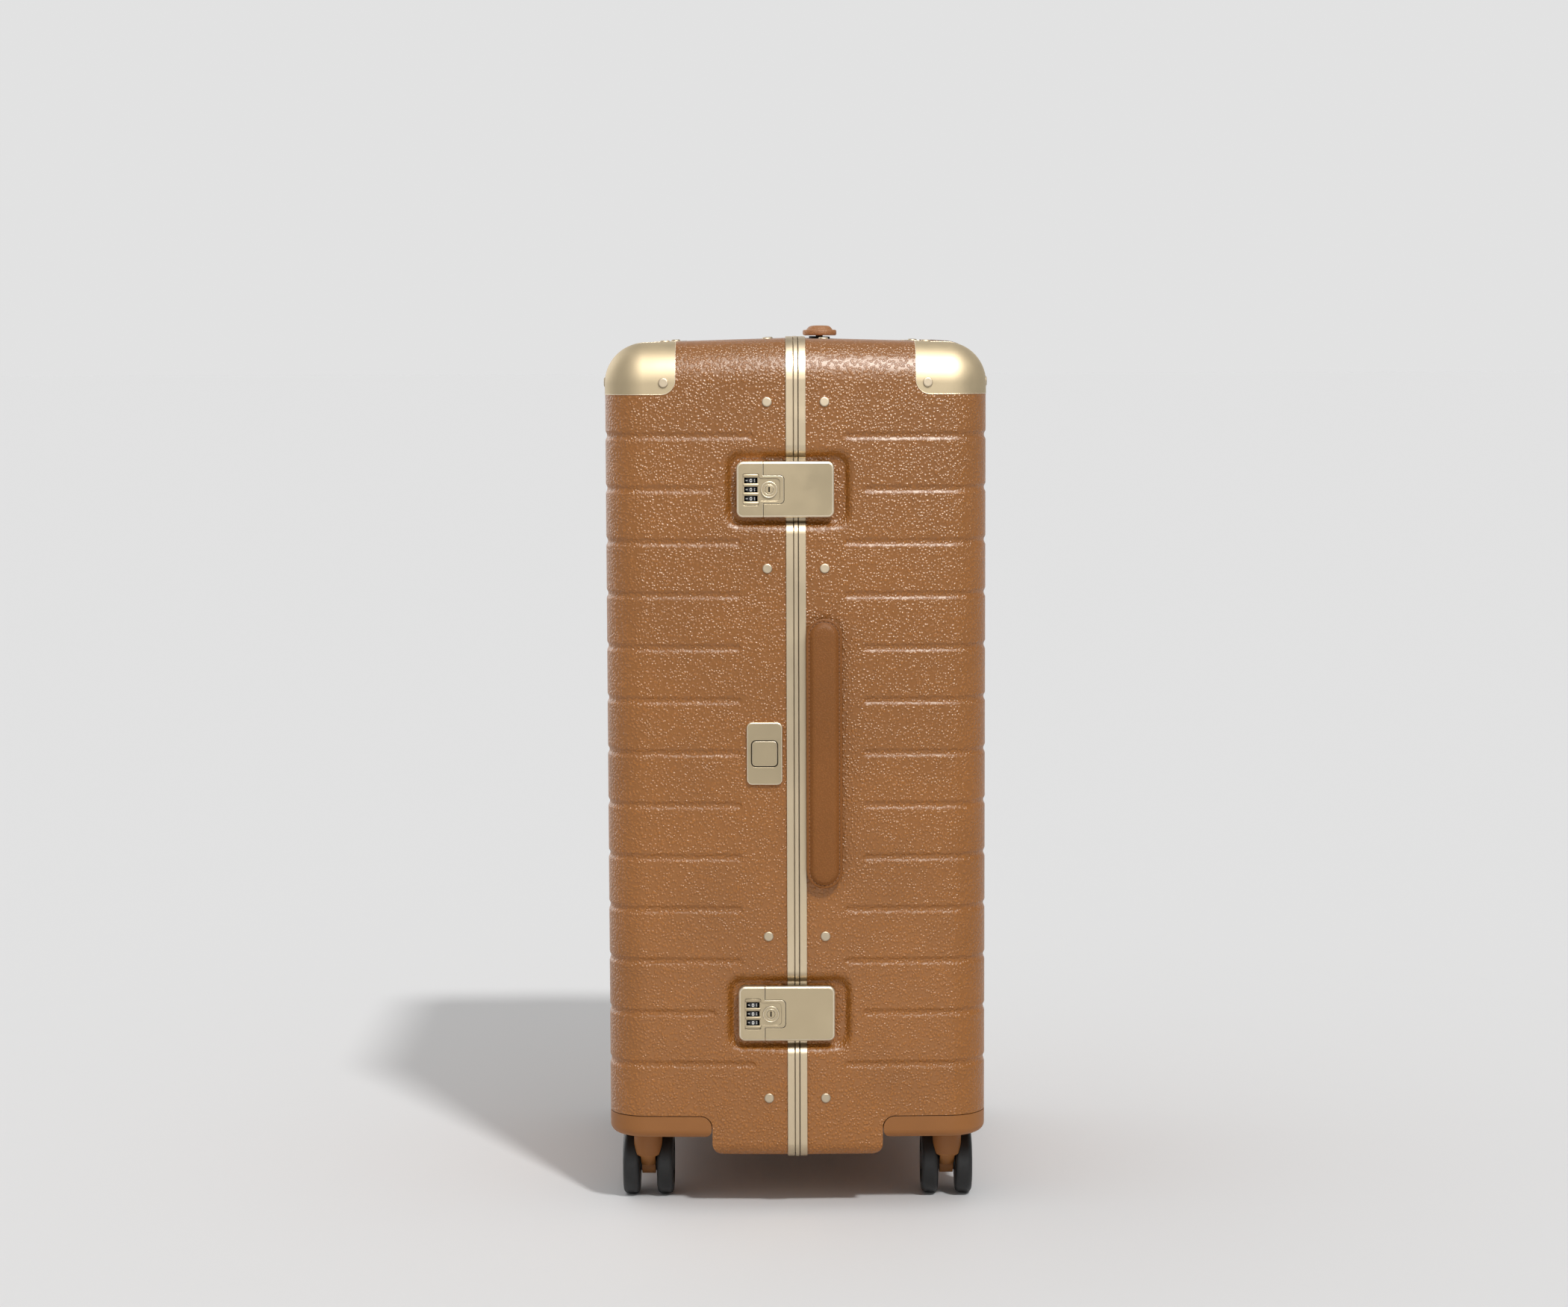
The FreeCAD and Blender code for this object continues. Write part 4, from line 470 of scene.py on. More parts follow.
class Palette:
    """All the finishes of the case, each built once."""

    def __init__(self) -> None:
        """Build every material."""
        self.shell = GrainedSkin(
            "grained_shell", shade(172, 106, 36), 0.27, depth=0.0007, crease=0.77, gloss=0.55, coat=0.28,
        ).material()
        self.housing = MouldedPlastic("brown_moulding", shade(158, 103, 53), 0.46).material()
        self.leather = GrainedSkin(
            "handle_leather", shade(150, 92, 40), 0.44, pebbles=700.0, depth=0.0002, crease=0.82, drift=0.004,
            gloss=0.28,
        ).material()
        # Lighter copy of the handle leather: painted light on the top handle, where the light from above
        # falls
        self.top_leather = GrainedSkin(
            "top_handle_leather_painted_light", shade(186, 126, 78), 0.44, pebbles=700.0, depth=0.0002, crease=0.82,
            drift=0.004,
        ).material()
        self.thread = SewnThread("handle_thread", shade(176, 122, 78), 0.6).material()
        # Dark beads set between the stitches: painted shade of the needle holes
        self.needle_hole = Lacquer("needle_hole", shade(62, 36, 20), 0.8).material()
        champagne = (0.43, 0.35, 0.228)
        self.metal = SatinMetal("champagne_metal", champagne, 0.46).material()
        self.cap_metal = SatinMetal("cap_metal", champagne, 0.56).material()
        # Lighter copy of the champagne metal: painted highlight on rounded edges, rolled rims and hems
        self.bright_metal = SatinMetal("painted_highlight_metal", (0.7, 0.61, 0.46), 0.46).material()
        # Near black: painted shade on the walls and floors of the lock's gaps
        self.lock_gap = MouldedPlastic("lock_gap", (0.022, 0.019, 0.015), 0.6).material()
        self.rivet = SatinMetal("rivet_metal", (0.48, 0.4, 0.29), 0.55, edge=0.0003).material()
        self.band = SatinMetal("frame_metal", (0.55, 0.45, 0.31), 0.46, edge=0.0009).material()
        self.steel = SatinMetal("turned_steel", (0.62, 0.6, 0.57), 0.26).material()
        self.rod = SatinMetal("rod_metal", (0.66, 0.62, 0.55), 0.28).material()
        self.rubber = TreadRubber("tread_rubber", (0.0095, 0.0095, 0.0095), 0.52).material()
        self.dial = Lacquer("dial_black", (0.005, 0.005, 0.0055), 0.3).material()
        self.digit = Lacquer("digit_white", shade(228, 226, 220), 0.45).material()
        self.inside = MouldedPlastic("inside_plastic", (0.03, 0.024, 0.019), 0.5).material()
        self.grip = MouldedPlastic("grip_moulding", shade(112, 72, 42), 0.42).material()
        self.lining = WovenCloth("lining_cloth", shade(139, 112, 84), 0.85).material()

    def of_node(self, node: str) -> Optional[bpy.types.Material]:
        """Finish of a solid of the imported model.

        Args:
            node: Name of the solid's node.

        Returns:
            Its material, or nothing where another piece stands for it.
        """
        rows: tuple[tuple[bpy.types.Material, tuple[str, ...]], ...] = (
            (self.shell, ("lid_shell", "base_shell")),
            (self.band, ("lid_frame", "base_frame", "frame_bead")),
            (self.rivet, ("lid_rivets", "base_rivets")),
            (self.housing, ("wheel_housing", "caster_fork")),
            (self.steel, ("caster_axle",)),
            (self.rubber, ("wheel_lid", "wheel_base")),
            (self.dial, ("dial_",)),
            (self.inside, ("handle_guides", "pull_guide_tubes")),
            (self.grip, ("pull_cup", "pull_grip", "pull_button")),
            (self.rod, ("pull_rods",)),
            (self.cap_metal, ("corner_cap",)),
            (self.metal, ("lock_body", "latch_flap", "flap_bracket", "catch_", "key_cylinder")),
            (self.metal, ("lid_hinge", "base_hinge")),
        )
        for material, starts in rows:
            if node.startswith(starts):
                return material
        return None


# Meshes


def full_turn(steps: int) -> list[float]:
    """Angles of even steps round a full turn."""
    return [2.0 * math.pi * k / steps for k in range(steps)]


class Shape:
    """A mesh in the making: points and faces that rings of points are joined into."""

    def __init__(self) -> None:
        """Start with nothing."""
        self.points: list[Vector] = []
        self.faces: list[tuple[int, ...]] = []

    def ring(self, points: Iterable[Vector]) -> list[int]:
        """Add points and give their numbers."""
        start = len(self.points)
        self.points.extend(points)
        return list(range(start, len(self.points)))

    def bridge(self, first: Sequence[int], second: Sequence[int], closed: bool = True) -> None:
        """Join two rings of equal count with quads.

        Args:
            first: Numbers of one ring's points.
            second: Numbers of the other's.
            closed: Whether the rings run back to their start.
        """
        count = len(first)
        for i in range(count if closed else count - 1):
            j = (i + 1) % count
            self.faces.append((first[i], first[j], second[j], second[i]))

    def cap(self, ring: Sequence[int]) -> None:
        """Close a ring with one face."""
        self.faces.append(tuple(ring))

    def tube(self, path: Sequence[Vector], radius: float, sides: int = 8) -> None:
        """Add a tube round a closed path.

        Args:
            path: Points of the path.
            radius: Radius of the tube.
            sides: Points round the tube.
        """
        count = len(path)
        lead = (path[1] - path[-1]).normalized()
        up = lead.orthogonal().normalized()
        rings = []
        for i, point in enumerate(path):
            lead = (path[(i + 1) % count] - path[i - 1]).normalized()
            up = (up - lead * up.dot(lead)).normalized()
            aside = lead.cross(up)
            rings.append(self.ring(
                point + radius * (math.cos(a) * up + math.sin(a) * aside) for a in full_turn(sides)
            ))
        for i in range(count - 1):
            self.bridge(rings[i], rings[i + 1])
        last, first = rings[-1], rings[0]
        near = min(range(sides), key=lambda k: (self.points[first[k]] - self.points[last[0]]).length)
        self.bridge(last, first[near:] + first[:near])

    def build(self, name: str, material: bpy.types.Material) -> bpy.types.Object:
        """Make the object, with doubles merged and faces outwards.

        Args:
            name: Name of the piece.
            material: Its finish.

        Returns:
            The new object, at the origin.
        """
        mesh = bpy.data.meshes.new(name)
        mesh.from_pydata([tuple(p) for p in self.points], [], self.faces)
        work = bmesh.new()
        work.from_mesh(mesh)
        bmesh.ops.remove_doubles(work, verts=work.verts, dist=MERGE)
        bmesh.ops.recalc_face_normals(work, faces=work.faces)
        work.to_mesh(mesh)
        work.free()
        return placed(name, mesh, material)


def placed(name: str, mesh: bpy.types.Mesh, material: bpy.types.Material) -> bpy.types.Object:
    """Put a mesh into the scene, smooth and in one finish.

    Args:
        name: Name of the piece.
        mesh: Its mesh, in the frame's coordinates.
        material: Its finish.

    Returns:
        The new object.
    """
    mesh.materials.clear()
    mesh.materials.append(material)
    mesh.shade_smooth()
    piece = bpy.data.objects.new(name, mesh)
    bpy.context.scene.collection.objects.link(piece)
    return piece


def seat(piece: bpy.types.Object, body: str) -> bpy.types.Object:
    """Let a finished piece ride on a body.

    Args:
        piece: The piece.
        body: Body that carries it.

    Returns:
        The same piece.
    """
    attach(piece, body)
    LOG.info("%s rides on %s: %d faces", piece.name, body, len(piece.data.polygons))
    return piece


def sharp_by_angle(piece: bpy.types.Object, degrees: float) -> None:
    """Keep edges crisp where a mesh turns by more than an angle."""
    piece.data.set_sharp_from_angle(angle=math.radians(degrees))


def brighten_edges(node: str, back: float, palette: Palette) -> None:
    """Paint a highlight on the rounded front edges of a solid, as a lighter metal colour.

    Args:
        node: Name of the solid.
        back: Y up to which its edges count as front edges.
        palette: The case's finishes.
    """
    mesh = bpy.data.objects[node].data
    mesh.materials.append(palette.bright_metal)
    steep, flat = EDGE_TURN
    for face in mesh.polygons:
        if face.center.y < back and steep < face.normal.dot(FRONT) < flat:
            face.material_index = 1


def lathe(name: str, profile: Sequence[Span], centre: Vector, material: bpy.types.Material,
          steps: int = 48) -> bpy.types.Object:
    """Turn a closed profile round an axis that points to the front.

    Args:
        name: Name of the piece.
        profile: Radius and height towards the front of each point.
        centre: Point of the axis at height zero.
        material: Finish.
        steps: Points round the axis.

    Returns:
        The turned piece.
    """
    shape = Shape()
    rings = []
    for radius, height in profile:
        rings.append(shape.ring(
            centre + Vector((radius * math.cos(a), -height, radius * math.sin(a))) for a in full_turn(steps)
        ))
    for i, ring in enumerate(rings):
        shape.bridge(ring, rings[(i + 1) % len(rings)])
    return shape.build(name, material)


class EvenBeads:
    """Geometry Nodes that lay a small bead at even steps along a closed path."""

    def __init__(self) -> None:
        """Build the tree with its named inputs."""
        self.tree = bpy.data.node_groups.new("even_beads", "GeometryNodeTree")
        self.tree.is_modifier = True
        face = self.tree.interface
        face.new_socket("Path", in_out="INPUT", socket_type="NodeSocketGeometry")
        kinds = {
            "Pitch": "NodeSocketFloat", "Bead Length": "NodeSocketFloat", "Bead Width": "NodeSocketFloat",
            "Bead Height": "NodeSocketFloat", "Outwards": "NodeSocketVector", "Finish": "NodeSocketMaterial",
        }
        self.sockets = {
            label: face.new_socket(label, in_out="INPUT", socket_type=kind).identifier
            for label, kind in kinds.items()
        }
        face.new_socket("Beads", in_out="OUTPUT", socket_type="NodeSocketGeometry")
        self.join()

    def join(self) -> None:
        """Lay out the nodes between the group's inputs and its output."""
        nodes, links = self.tree.nodes, self.tree.links
        entry = nodes.new("NodeGroupInput")
        curve = nodes.new("GeometryNodeMeshToCurve")
        steps = nodes.new("GeometryNodeResampleCurve")
        steps.mode = "LENGTH"
        bead = nodes.new("GeometryNodeMeshUVSphere")
        bead.inputs["Segments"].default_value = 8
        bead.inputs["Rings"].default_value = 5
        bead.inputs["Radius"].default_value = 0.5
        size = nodes.new("ShaderNodeCombineXYZ")
        tangent = nodes.new("GeometryNodeInputTangent")
        lengthwise = nodes.new("FunctionNodeAlignRotationToVector")
        lengthwise.axis = "X"
        upright = nodes.new("FunctionNodeAlignRotationToVector")
        upright.axis = "Z"
        upright.pivot_axis = "X"
        spread = nodes.new("GeometryNodeInstanceOnPoints")
        real = nodes.new("GeometryNodeRealizeInstances")
        dress = nodes.new("GeometryNodeSetMaterial")
        leave = nodes.new("NodeGroupOutput")
        for source, target in (
            (entry.outputs["Path"], curve.inputs["Mesh"]),
            (curve.outputs["Curve"], steps.inputs["Curve"]),
            (entry.outputs["Pitch"], steps.inputs["Length"]),
            (entry.outputs["Bead Length"], size.inputs["X"]),
            (entry.outputs["Bead Width"], size.inputs["Y"]),
            (entry.outputs["Bead Height"], size.inputs["Z"]),
            (tangent.outputs["Tangent"], lengthwise.inputs["Vector"]),
            (lengthwise.outputs["Rotation"], upright.inputs["Rotation"]),
            (entry.outputs["Outwards"], upright.inputs["Vector"]),
            (steps.outputs["Curve"], spread.inputs["Points"]),
            (bead.outputs["Mesh"], spread.inputs["Instance"]),
            (upright.outputs["Rotation"], spread.inputs["Rotation"]),
            (size.outputs["Vector"], spread.inputs["Scale"]),
            (spread.outputs["Instances"], real.inputs["Geometry"]),
            (real.outputs["Geometry"], dress.inputs["Geometry"]),
            (entry.outputs["Finish"], dress.inputs["Material"]),
            (dress.outputs["Geometry"], leave.inputs["Beads"]),
        ):
            links.new(source, target)

    def lay(self, name: str, path: Sequence[Vector], outwards: Vector, finish: bpy.types.Material,
            pitch: float, bead: tuple[float, float, float]) -> bpy.types.Object:
        """Lay beads along a closed path.

        Args:
            name: Name of the piece.
            path: Points of the path.
            outwards: Direction that the beads' flat side turns to.
            finish: Material of the beads.
            pitch: Step from bead to bead.
            bead: Length, width and height of a bead.

        Returns:
            All beads as one plain mesh.
        """
        count = len(path)
        line = bpy.data.meshes.new(name + "_path")
        line.from_pydata([tuple(p) for p in path], [(i, (i + 1) % count) for i in range(count)], [])
        host = bpy.data.objects.new(name + "_path", line)
        bpy.context.scene.collection.objects.link(host)
        modifier = host.modifiers.new("beads", "NODES")
        modifier.node_group = self.tree
        values = {
            "Pitch": pitch, "Bead Length": bead[0], "Bead Width": bead[1], "Bead Height": bead[2],
            "Outwards": tuple(outwards), "Finish": finish,
        }
        for label, value in values.items():
            modifier[self.sockets[label]] = value
        bpy.context.view_layer.update()
        mesh = bpy.data.meshes.new_from_object(host.evaluated_get(bpy.context.evaluated_depsgraph_get()))
        mesh.name = name
        host.modifiers.remove(modifier)
        bpy.data.objects.remove(host)
        bpy.data.meshes.remove(line)
        return placed(name, mesh, finish)


# Sub-assemblies


@dataclass
class CarryHandle:
    """A padded leather handle with a stitched edge, on two flat legs that slide into the case."""

    name: str
    along: Vector
    out: Vector
    leg_at: float
    across: Vector = Vector((1.0, 0.0, 0.0))
    reach: float = 0.0116
    pad_foot: float = 0.0085
    pad_rise: float = 0.002
    waver: float = 0.00012
    waves: float = 95.0
    leg_thick: float = 0.005
    leg_wide: float = 0.014
    leg_edge: float = 0.0012
    leg_rows: tuple[float, ...] = (-0.029, -0.02, -0.01, 0.0, 0.0035)
    leg_fold: float = 50.0
    edge_steps: int = 4
    side_steps: int = 72
    end_steps: int = 26
    stitch_in: float = 0.00275
    stitch_at: float = 0.0073
    stitch_pitch: float = 0.0038
    stitch: tuple[float, float, float] = (0.0027, 0.00085, 0.0006)
    hole: tuple[float, float, float] = (0.001, 0.00075, 0.0004)
    seam_side_steps: int = 160
    seam_end_steps: int = 40

    def __post_init__(self) -> None:
        """Take the handle's place and outline from its solid."""
        low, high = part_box(self.name)
        middle = (low + high) / 2.0
        face = max(low.dot(self.out), high.dot(self.out)) - self.reach
        self.centre = middle - self.out * middle.dot(self.out) + self.out * face
        span = high - low
        self.length = abs(span.dot(self.along))
        self.width = abs(span.dot(self.across))

    def profile(self) -> list[Span]:
        """Section of the pad from the middle of the underside, round the edge, to the crown.

        Returns:
            Inset from the edge and height of each point.
        """
        under = [(self.width / 2.0, 0.0024), (0.008, 0.0024), (0.0014, 0.0024)]
        rim = [(0.0005, 0.0026), (0.0001, 0.0032), (0.0, 0.0042), (0.0, 0.0056)]
        rim += [(0.00012, 0.0066), (0.0005, 0.00725)]
        hem = [(0.0011, 0.0075), (0.0018, 0.00755), (0.0023, 0.0073), (0.00275, 0.00715), (0.0032, 0.0073)]
        slope = [(0.0036, 0.0077), (0.0042, 0.0085), (0.0049, 0.0095), (0.0057, 0.01035), (0.0065, 0.0109)]
        crown = [(0.0076, 0.01125), (0.0095, 0.01145), (0.0125, 0.01156), (self.width / 2.0, self.reach)]
        return under + rim + hem + slope + crown

    def spot(self, aside: float, ahead: float, high: float) -> Vector:
        """Point in the frame from the handle's own directions."""
        return self.centre + self.across * aside + self.along * ahead + self.out * high

    def outline(self, inset: float, high: float, straight: int, bend: int) -> list[Vector]:
        """Closed outline with round ends, at an inset from the edge.

        Args:
            inset: Distance in from the edge.
            high: Height above the skin.
            straight: Steps along each long side.
            bend: Steps round each end.

        Returns:
            Points of the outline.
        """
        radius = self.width / 2.0 - inset
        half = (self.length - self.width) / 2.0
        points = []
        for sign in (1.0, -1.0):
            for i in range(straight):
                points.append(self.spot(sign * radius, sign * half * (2.0 * i / straight - 1.0), high))
            for i in range(bend):
                turn = math.pi * i / bend
                points.append(self.spot(
                    sign * radius * math.cos(turn), sign * (half + radius * math.sin(turn)), high
                ))
        return points

    def pad(self, palette: Palette) -> bpy.types.Object:
        """Padded strap with its rolled edge, sewn channel and crowned pad."""
        shape = Shape()
        rings = [
            shape.ring(self.outline(inset, high, self.side_steps, self.end_steps))
            for inset, high in self.profile()
        ]
        for first, second in zip(rings, rings[1:]):
            shape.bridge(first, second)
        for i, point in enumerate(shape.points):
            high = (point - self.centre).dot(self.out)
            lift = max(0.0, min(1.0, (high - self.pad_foot) / self.pad_rise))
            shape.points[i] = point - self.out * (lift * self.waver * (1.0 + noise.noise(point * self.waves)))
        # The top handle takes the lighter leather copy: painted light from above
        return shape.build(self.name + "_pad", palette.top_leather if self.out == UP else palette.leather)

    def legs(self, palette: Palette) -> bpy.types.Object:
        """Both flat legs, rounded along their edges."""
        shape = Shape()
        half_u, half_v, corner = self.leg_thick / 2.0, self.leg_wide / 2.0, self.leg_edge
        quarter_turn = math.pi / 2.0
        section = []
        for quarter, (sign_u, sign_v) in enumerate(((1, -1), (1, 1), (-1, 1), (-1, -1))):
            for k in range(self.edge_steps + 1):
                turn = quarter_turn * (quarter - 1 + k / self.edge_steps)
                section.append((
                    sign_u * (half_u - corner) + corner * math.cos(turn),
                    sign_v * (half_v - corner) + corner * math.sin(turn),
                ))
        for end in (-1.0, 1.0):
            rings = [
                shape.ring(self.spot(u, end * self.leg_at + v, high) for u, v in section)
                for high in self.leg_rows
            ]
            for first, second in zip(rings, rings[1:]):
                shape.bridge(first, second)
            shape.cap(rings[0])
            shape.cap(rings[-1])
        piece = shape.build(self.name + "_legs", palette.inside)
        sharp_by_angle(piece, self.leg_fold)
        return piece

    def build(self, palette: Palette, beads: EvenBeads) -> None:
        """Make the handle and its sewing.

        Args:
            palette: The case's finishes.
            beads: Tree that lays the stitches.
        """
        pad = self.pad(palette)
        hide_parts(self.name)
        seat(pad, self.name)
        seat(self.legs(palette), self.name)
        path = self.outline(self.stitch_in, self.stitch_at, self.seam_side_steps, self.seam_end_steps)
        stitches = beads.lay(
            self.name + "_stitches", path, self.out, palette.thread, self.stitch_pitch, self.stitch
        )
        seat(stitches, self.name)
        seam_step = (self.length - self.width) / self.seam_side_steps
        shift = round(self.stitch_pitch / 2.0 / seam_step)
        # Dark beads between the stitches paint the shade in the needle holes
        holes = beads.lay(
            self.name + "_needle_holes", path[shift:] + path[:shift], self.out, palette.needle_hole,
            self.stitch_pitch, self.hole,
        )
        seat(holes, self.name)


@dataclass
class LockFace:
    """Painted highlights on the edges, painted shade in the gaps, digits, dial bars and key rims of one lock.
    """

    name: str
    dial_radius: float = 0.0065
    dial_pitch: float = 0.00807
    digit_count: int = 10
    digit_high: float = 0.0022
    digit_spread: float = 2.2
    digit_bold: float = 0.03
    digit_thick: float = 0.01
    digit_cuts: int = 9
    digit_proud: float = 0.00002
    digit_sunk: float = 0.00004
    fold: float = 40.0
    bar_half: float = 0.0068
    bar_rise: float = 0.00055
    bar_base: float = 0.0001
    bar_foot: float = 0.0002
    bar_edge: float = 0.0003
    bar_drop: float = 0.00025
    bar_gap: float = 0.0002
    bar_end_gap: float = 0.0004
    bar_steps: int = 14
    slot_half: float = 0.0026
    window_half: float = 0.0142
    window_sink: float = 0.0007
    key_x: float = -0.0238
    key_rims: tuple[tuple[str, float, float], ...] = (("outer", 0.0069, 0.0004), ("inner", 0.0044, 0.00028))
    rim_high: float = 0.0005
    rim_steps: int = 10
    bevel: float = 0.0022
    gap_depth: float = 0.0016
    wall_tilt: float = 0.1
    floor_tilt: float = 0.5

    def __post_init__(self) -> None:
        """Take the lock's height and face from its solid."""
        low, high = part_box("dial_" + self.name + "_2")
        self.axis = (low + high) / 2.0
        body_low, body_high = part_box("lock_body_" + self.name)
        self.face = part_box("latch_flap_" + self.name)[0].y
        self.middle = (body_low.z + body_high.z) / 2.0

    def glyph(self, digit: int) -> bpy.types.Mesh:
        """Flat thin mesh of a digit, one unit high and centred.

        Args:
            digit: The number.

        Returns:
            Its mesh, sliced so that it can be bent.
        """
        text = bpy.data.curves.new("digit", "FONT")
        text.body = str(digit)
        text.extrude = self.digit_thick
        text.offset = self.digit_bold
        holder = bpy.data.objects.new("digit", text)
        bpy.context.scene.collection.objects.link(holder)
        bpy.context.view_layer.update()
        mesh = bpy.data.meshes.new_from_object(holder.evaluated_get(bpy.context.evaluated_depsgraph_get()))
        bpy.data.objects.remove(holder)
        bpy.data.curves.remove(text)
        work = bmesh.new()
        work.from_mesh(mesh)
        bmesh.ops.remove_doubles(work, verts=work.verts, dist=10.0 * MERGE)
        xs = [v.co.x for v in work.verts]
        ys = [v.co.y for v in work.verts]
        middle = Vector(((min(xs) + max(xs)) / 2.0, (min(ys) + max(ys)) / 2.0, 0.0))
        tall = max(ys) - min(ys)
        for vert in work.verts:
            vert.co = (vert.co - middle) / tall
        for k in range(self.digit_cuts):
            level = (k - self.digit_cuts // 2) / self.digit_cuts
            bmesh.ops.bisect_plane(
                work, geom=work.verts[:] + work.edges[:] + work.faces[:],
                plane_co=(0.0, level, 0.0), plane_no=(0.0, 1.0, 0.0),
            )
        work.to_mesh(mesh)
        work.free()
        return mesh

    def digits(self, palette: Palette) -> None:
        """White digits round each dial, with zero at the front and counting up towards the lid."""
        glyphs = [self.glyph(k) for k in range(self.digit_count)]
        turns = full_turn(self.digit_count)
        for dial in (1, 2, 3):
            node = f"dial_{self.name}_{dial}"
            low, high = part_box(node)
            centre = (low + high) / 2.0
            points, faces = [], []
            for middle, mesh in zip(turns, glyphs):
                start = len(points)
                for vert in mesh.vertices:
                    turn = middle + vert.co.y * self.digit_high / self.dial_radius
                    radius = self.dial_radius + (self.digit_proud if vert.co.z > 0.0 else -self.digit_sunk)
                    aside = self.digit_spread * vert.co.x * self.digit_high
                    spot = Vector((-radius * math.sin(turn), -radius * math.cos(turn), aside))
                    points.append(centre + spot)
                faces.extend(tuple(start + i for i in face.vertices) for face in mesh.polygons)
            shape = Shape()
            shape.points, shape.faces = points, faces
            piece = shape.build(node + "_digits", palette.digit)
            sharp_by_angle(piece, self.fold)
            seat(piece, node)
        for mesh in glyphs:
            bpy.data.meshes.remove(mesh)

    def bars(self, palette: Palette) -> None:
        """Barrel-shaped bars between the dials."""
        slot, edge, drop = self.slot_half + self.bar_gap, self.bar_edge, self.bar_drop
        gaps = [
            (-self.window_half + self.bar_end_gap, -self.dial_pitch - slot), (-self.dial_pitch + slot, -slot)
        ]
        gaps += [(-high, -low) for low, high in gaps]
        shape = Shape()
        floor = self.face + self.window_sink
        for low, high in gaps:
            rings = []
            for z, fall in ((low, drop), (low + edge, 0.0), (high - edge, 0.0), (high, drop)):
                row = []
                for k in range(self.bar_steps + 1):
                    share = 2.0 * k / self.bar_steps - 1.0
                    rise = max(0.0, self.bar_rise * (1.0 - share * share) + self.bar_base - fall)
                    row.append((share, floor - rise))
                row += [(share, floor + self.bar_foot) for share in (1.0, -1.0)]
                rings.append(shape.ring(
                    Vector((self.axis.x + share * self.bar_half, y, self.middle + z)) for share, y in row
                ))
            for first, second in zip(rings, rings[1:]):
                shape.bridge(first, second)
            shape.cap(rings[0])
            shape.cap(rings[-1])
        piece = shape.build(f"dial_bars_{self.name}", palette.metal)
        sharp_by_angle(piece, self.fold)
        seat(piece, "lid")

    def rims(self, palette: Palette) -> None:
        """Rolled rims round the key cylinder, in the lighter metal of a painted highlight."""
        centre = Vector((self.key_x, self.face, self.middle))
        for label, radius, tube in self.key_rims:
            profile = [
                (radius + tube * math.cos(turn), self.rim_high + tube * math.sin(turn))
                for turn in full_turn(self.rim_steps)
            ]
            piece = lathe(f"key_rim_{label}_{self.name}", profile, centre, palette.bright_metal)
            seat(piece, "lid")

    def bevels(self, palette: Palette) -> None:
        """Painted highlight, a lighter metal, on the rounded edges of the lock's body and flap."""
        for node in ("lock_body_" + self.name, "latch_flap_" + self.name):
            brighten_edges(node, self.face + self.bevel, palette)

    def gaps(self, palette: Palette) -> None:
        """Painted shade: dark walls and floors of the gaps inside the lock's outline and of the keyway."""
        corners = [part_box(start + self.name) for start in ("lock_body_", "latch_flap_")]
        low = [min(box[0][axis] for box in corners) + self.bevel for axis in range(3)]
        high = [max(box[1][axis] for box in corners) - self.bevel for axis in range(3)]
        for start in ("lock_body_", "latch_flap_", "key_cylinder_"):
            mesh = bpy.data.objects[start + self.name].data
            mesh.materials.append(palette.lock_gap)
            dark = len(mesh.materials) - 1
            for face in mesh.polygons:
                within = all(low[axis] < face.center[axis] < high[axis] for axis in (0, 2))
                floor = face.normal.y < -self.floor_tilt and face.center.y > self.face + self.gap_depth
                if within and (floor or abs(face.normal.y) < self.wall_tilt):
                    face.material_index = dark

    def build(self, palette: Palette) -> None:
        """Make all the details of the lock."""
        self.bevels(palette)
        self.gaps(palette)
        self.digits(palette)
        self.bars(palette)
        self.rims(palette)


@dataclass
class CornerHem:
    """Rolled edge of one corner cap, in the lighter metal of a painted highlight."""

    half: Half
    end: str
    thick: float = 0.0003
    fold: float = 60.0
    outer: float = 0.001

    def outline(self) -> list[Vector]:
        """Outer edge of the cap's sheet, read from its solid as one closed path."""
        node = bpy.data.objects[f"corner_cap_{self.half.value}_{self.end}"]
        work = bmesh.new()
        work.from_mesh(node.data)
        bmesh.ops.remove_doubles(work, verts=work.verts, dist=MERGE)
        fold = math.radians(self.fold)
        sharp = [e for e in work.edges if len(e.link_faces) == 2 and e.calc_face_angle() > fold]
        nearby: dict[int, list[int]] = {}
        for edge in sharp:
            a, b = (v.index for v in edge.verts)
            nearby.setdefault(a, []).append(b)
            nearby.setdefault(b, []).append(a)
        loops, seen = [], set()
        for start in nearby:
            if start in seen:
                continue
            loop, here = [start], start
            seen.add(start)
            while True:
                ways = [k for k in nearby[here] if k not in seen]
                if not ways:
                    break
                here = ways[0]
                seen.add(here)
                loop.append(here)
            loops.append(loop)
        work.verts.ensure_lookup_table()
        lines = [[work.verts[k].co.copy() for k in loop] for loop in loops]
        work.free()

        def size(line: list[Vector]) -> float:
            """Reach of a loop, a little more for the outer one of two alike."""
            return max((p - line[0]).length for p in line) + self.outer * max(abs(p.x) for p in line)

        return max(lines, key=size)

    def build(self, palette: Palette) -> None:
        """Make the rolled edge."""
        shape = Shape()
        shape.tube(self.outline(), self.thick)
        piece = shape.build(f"cap_hem_{self.half.value}_{self.end}", palette.bright_metal)
        seat(piece, self.half.value)


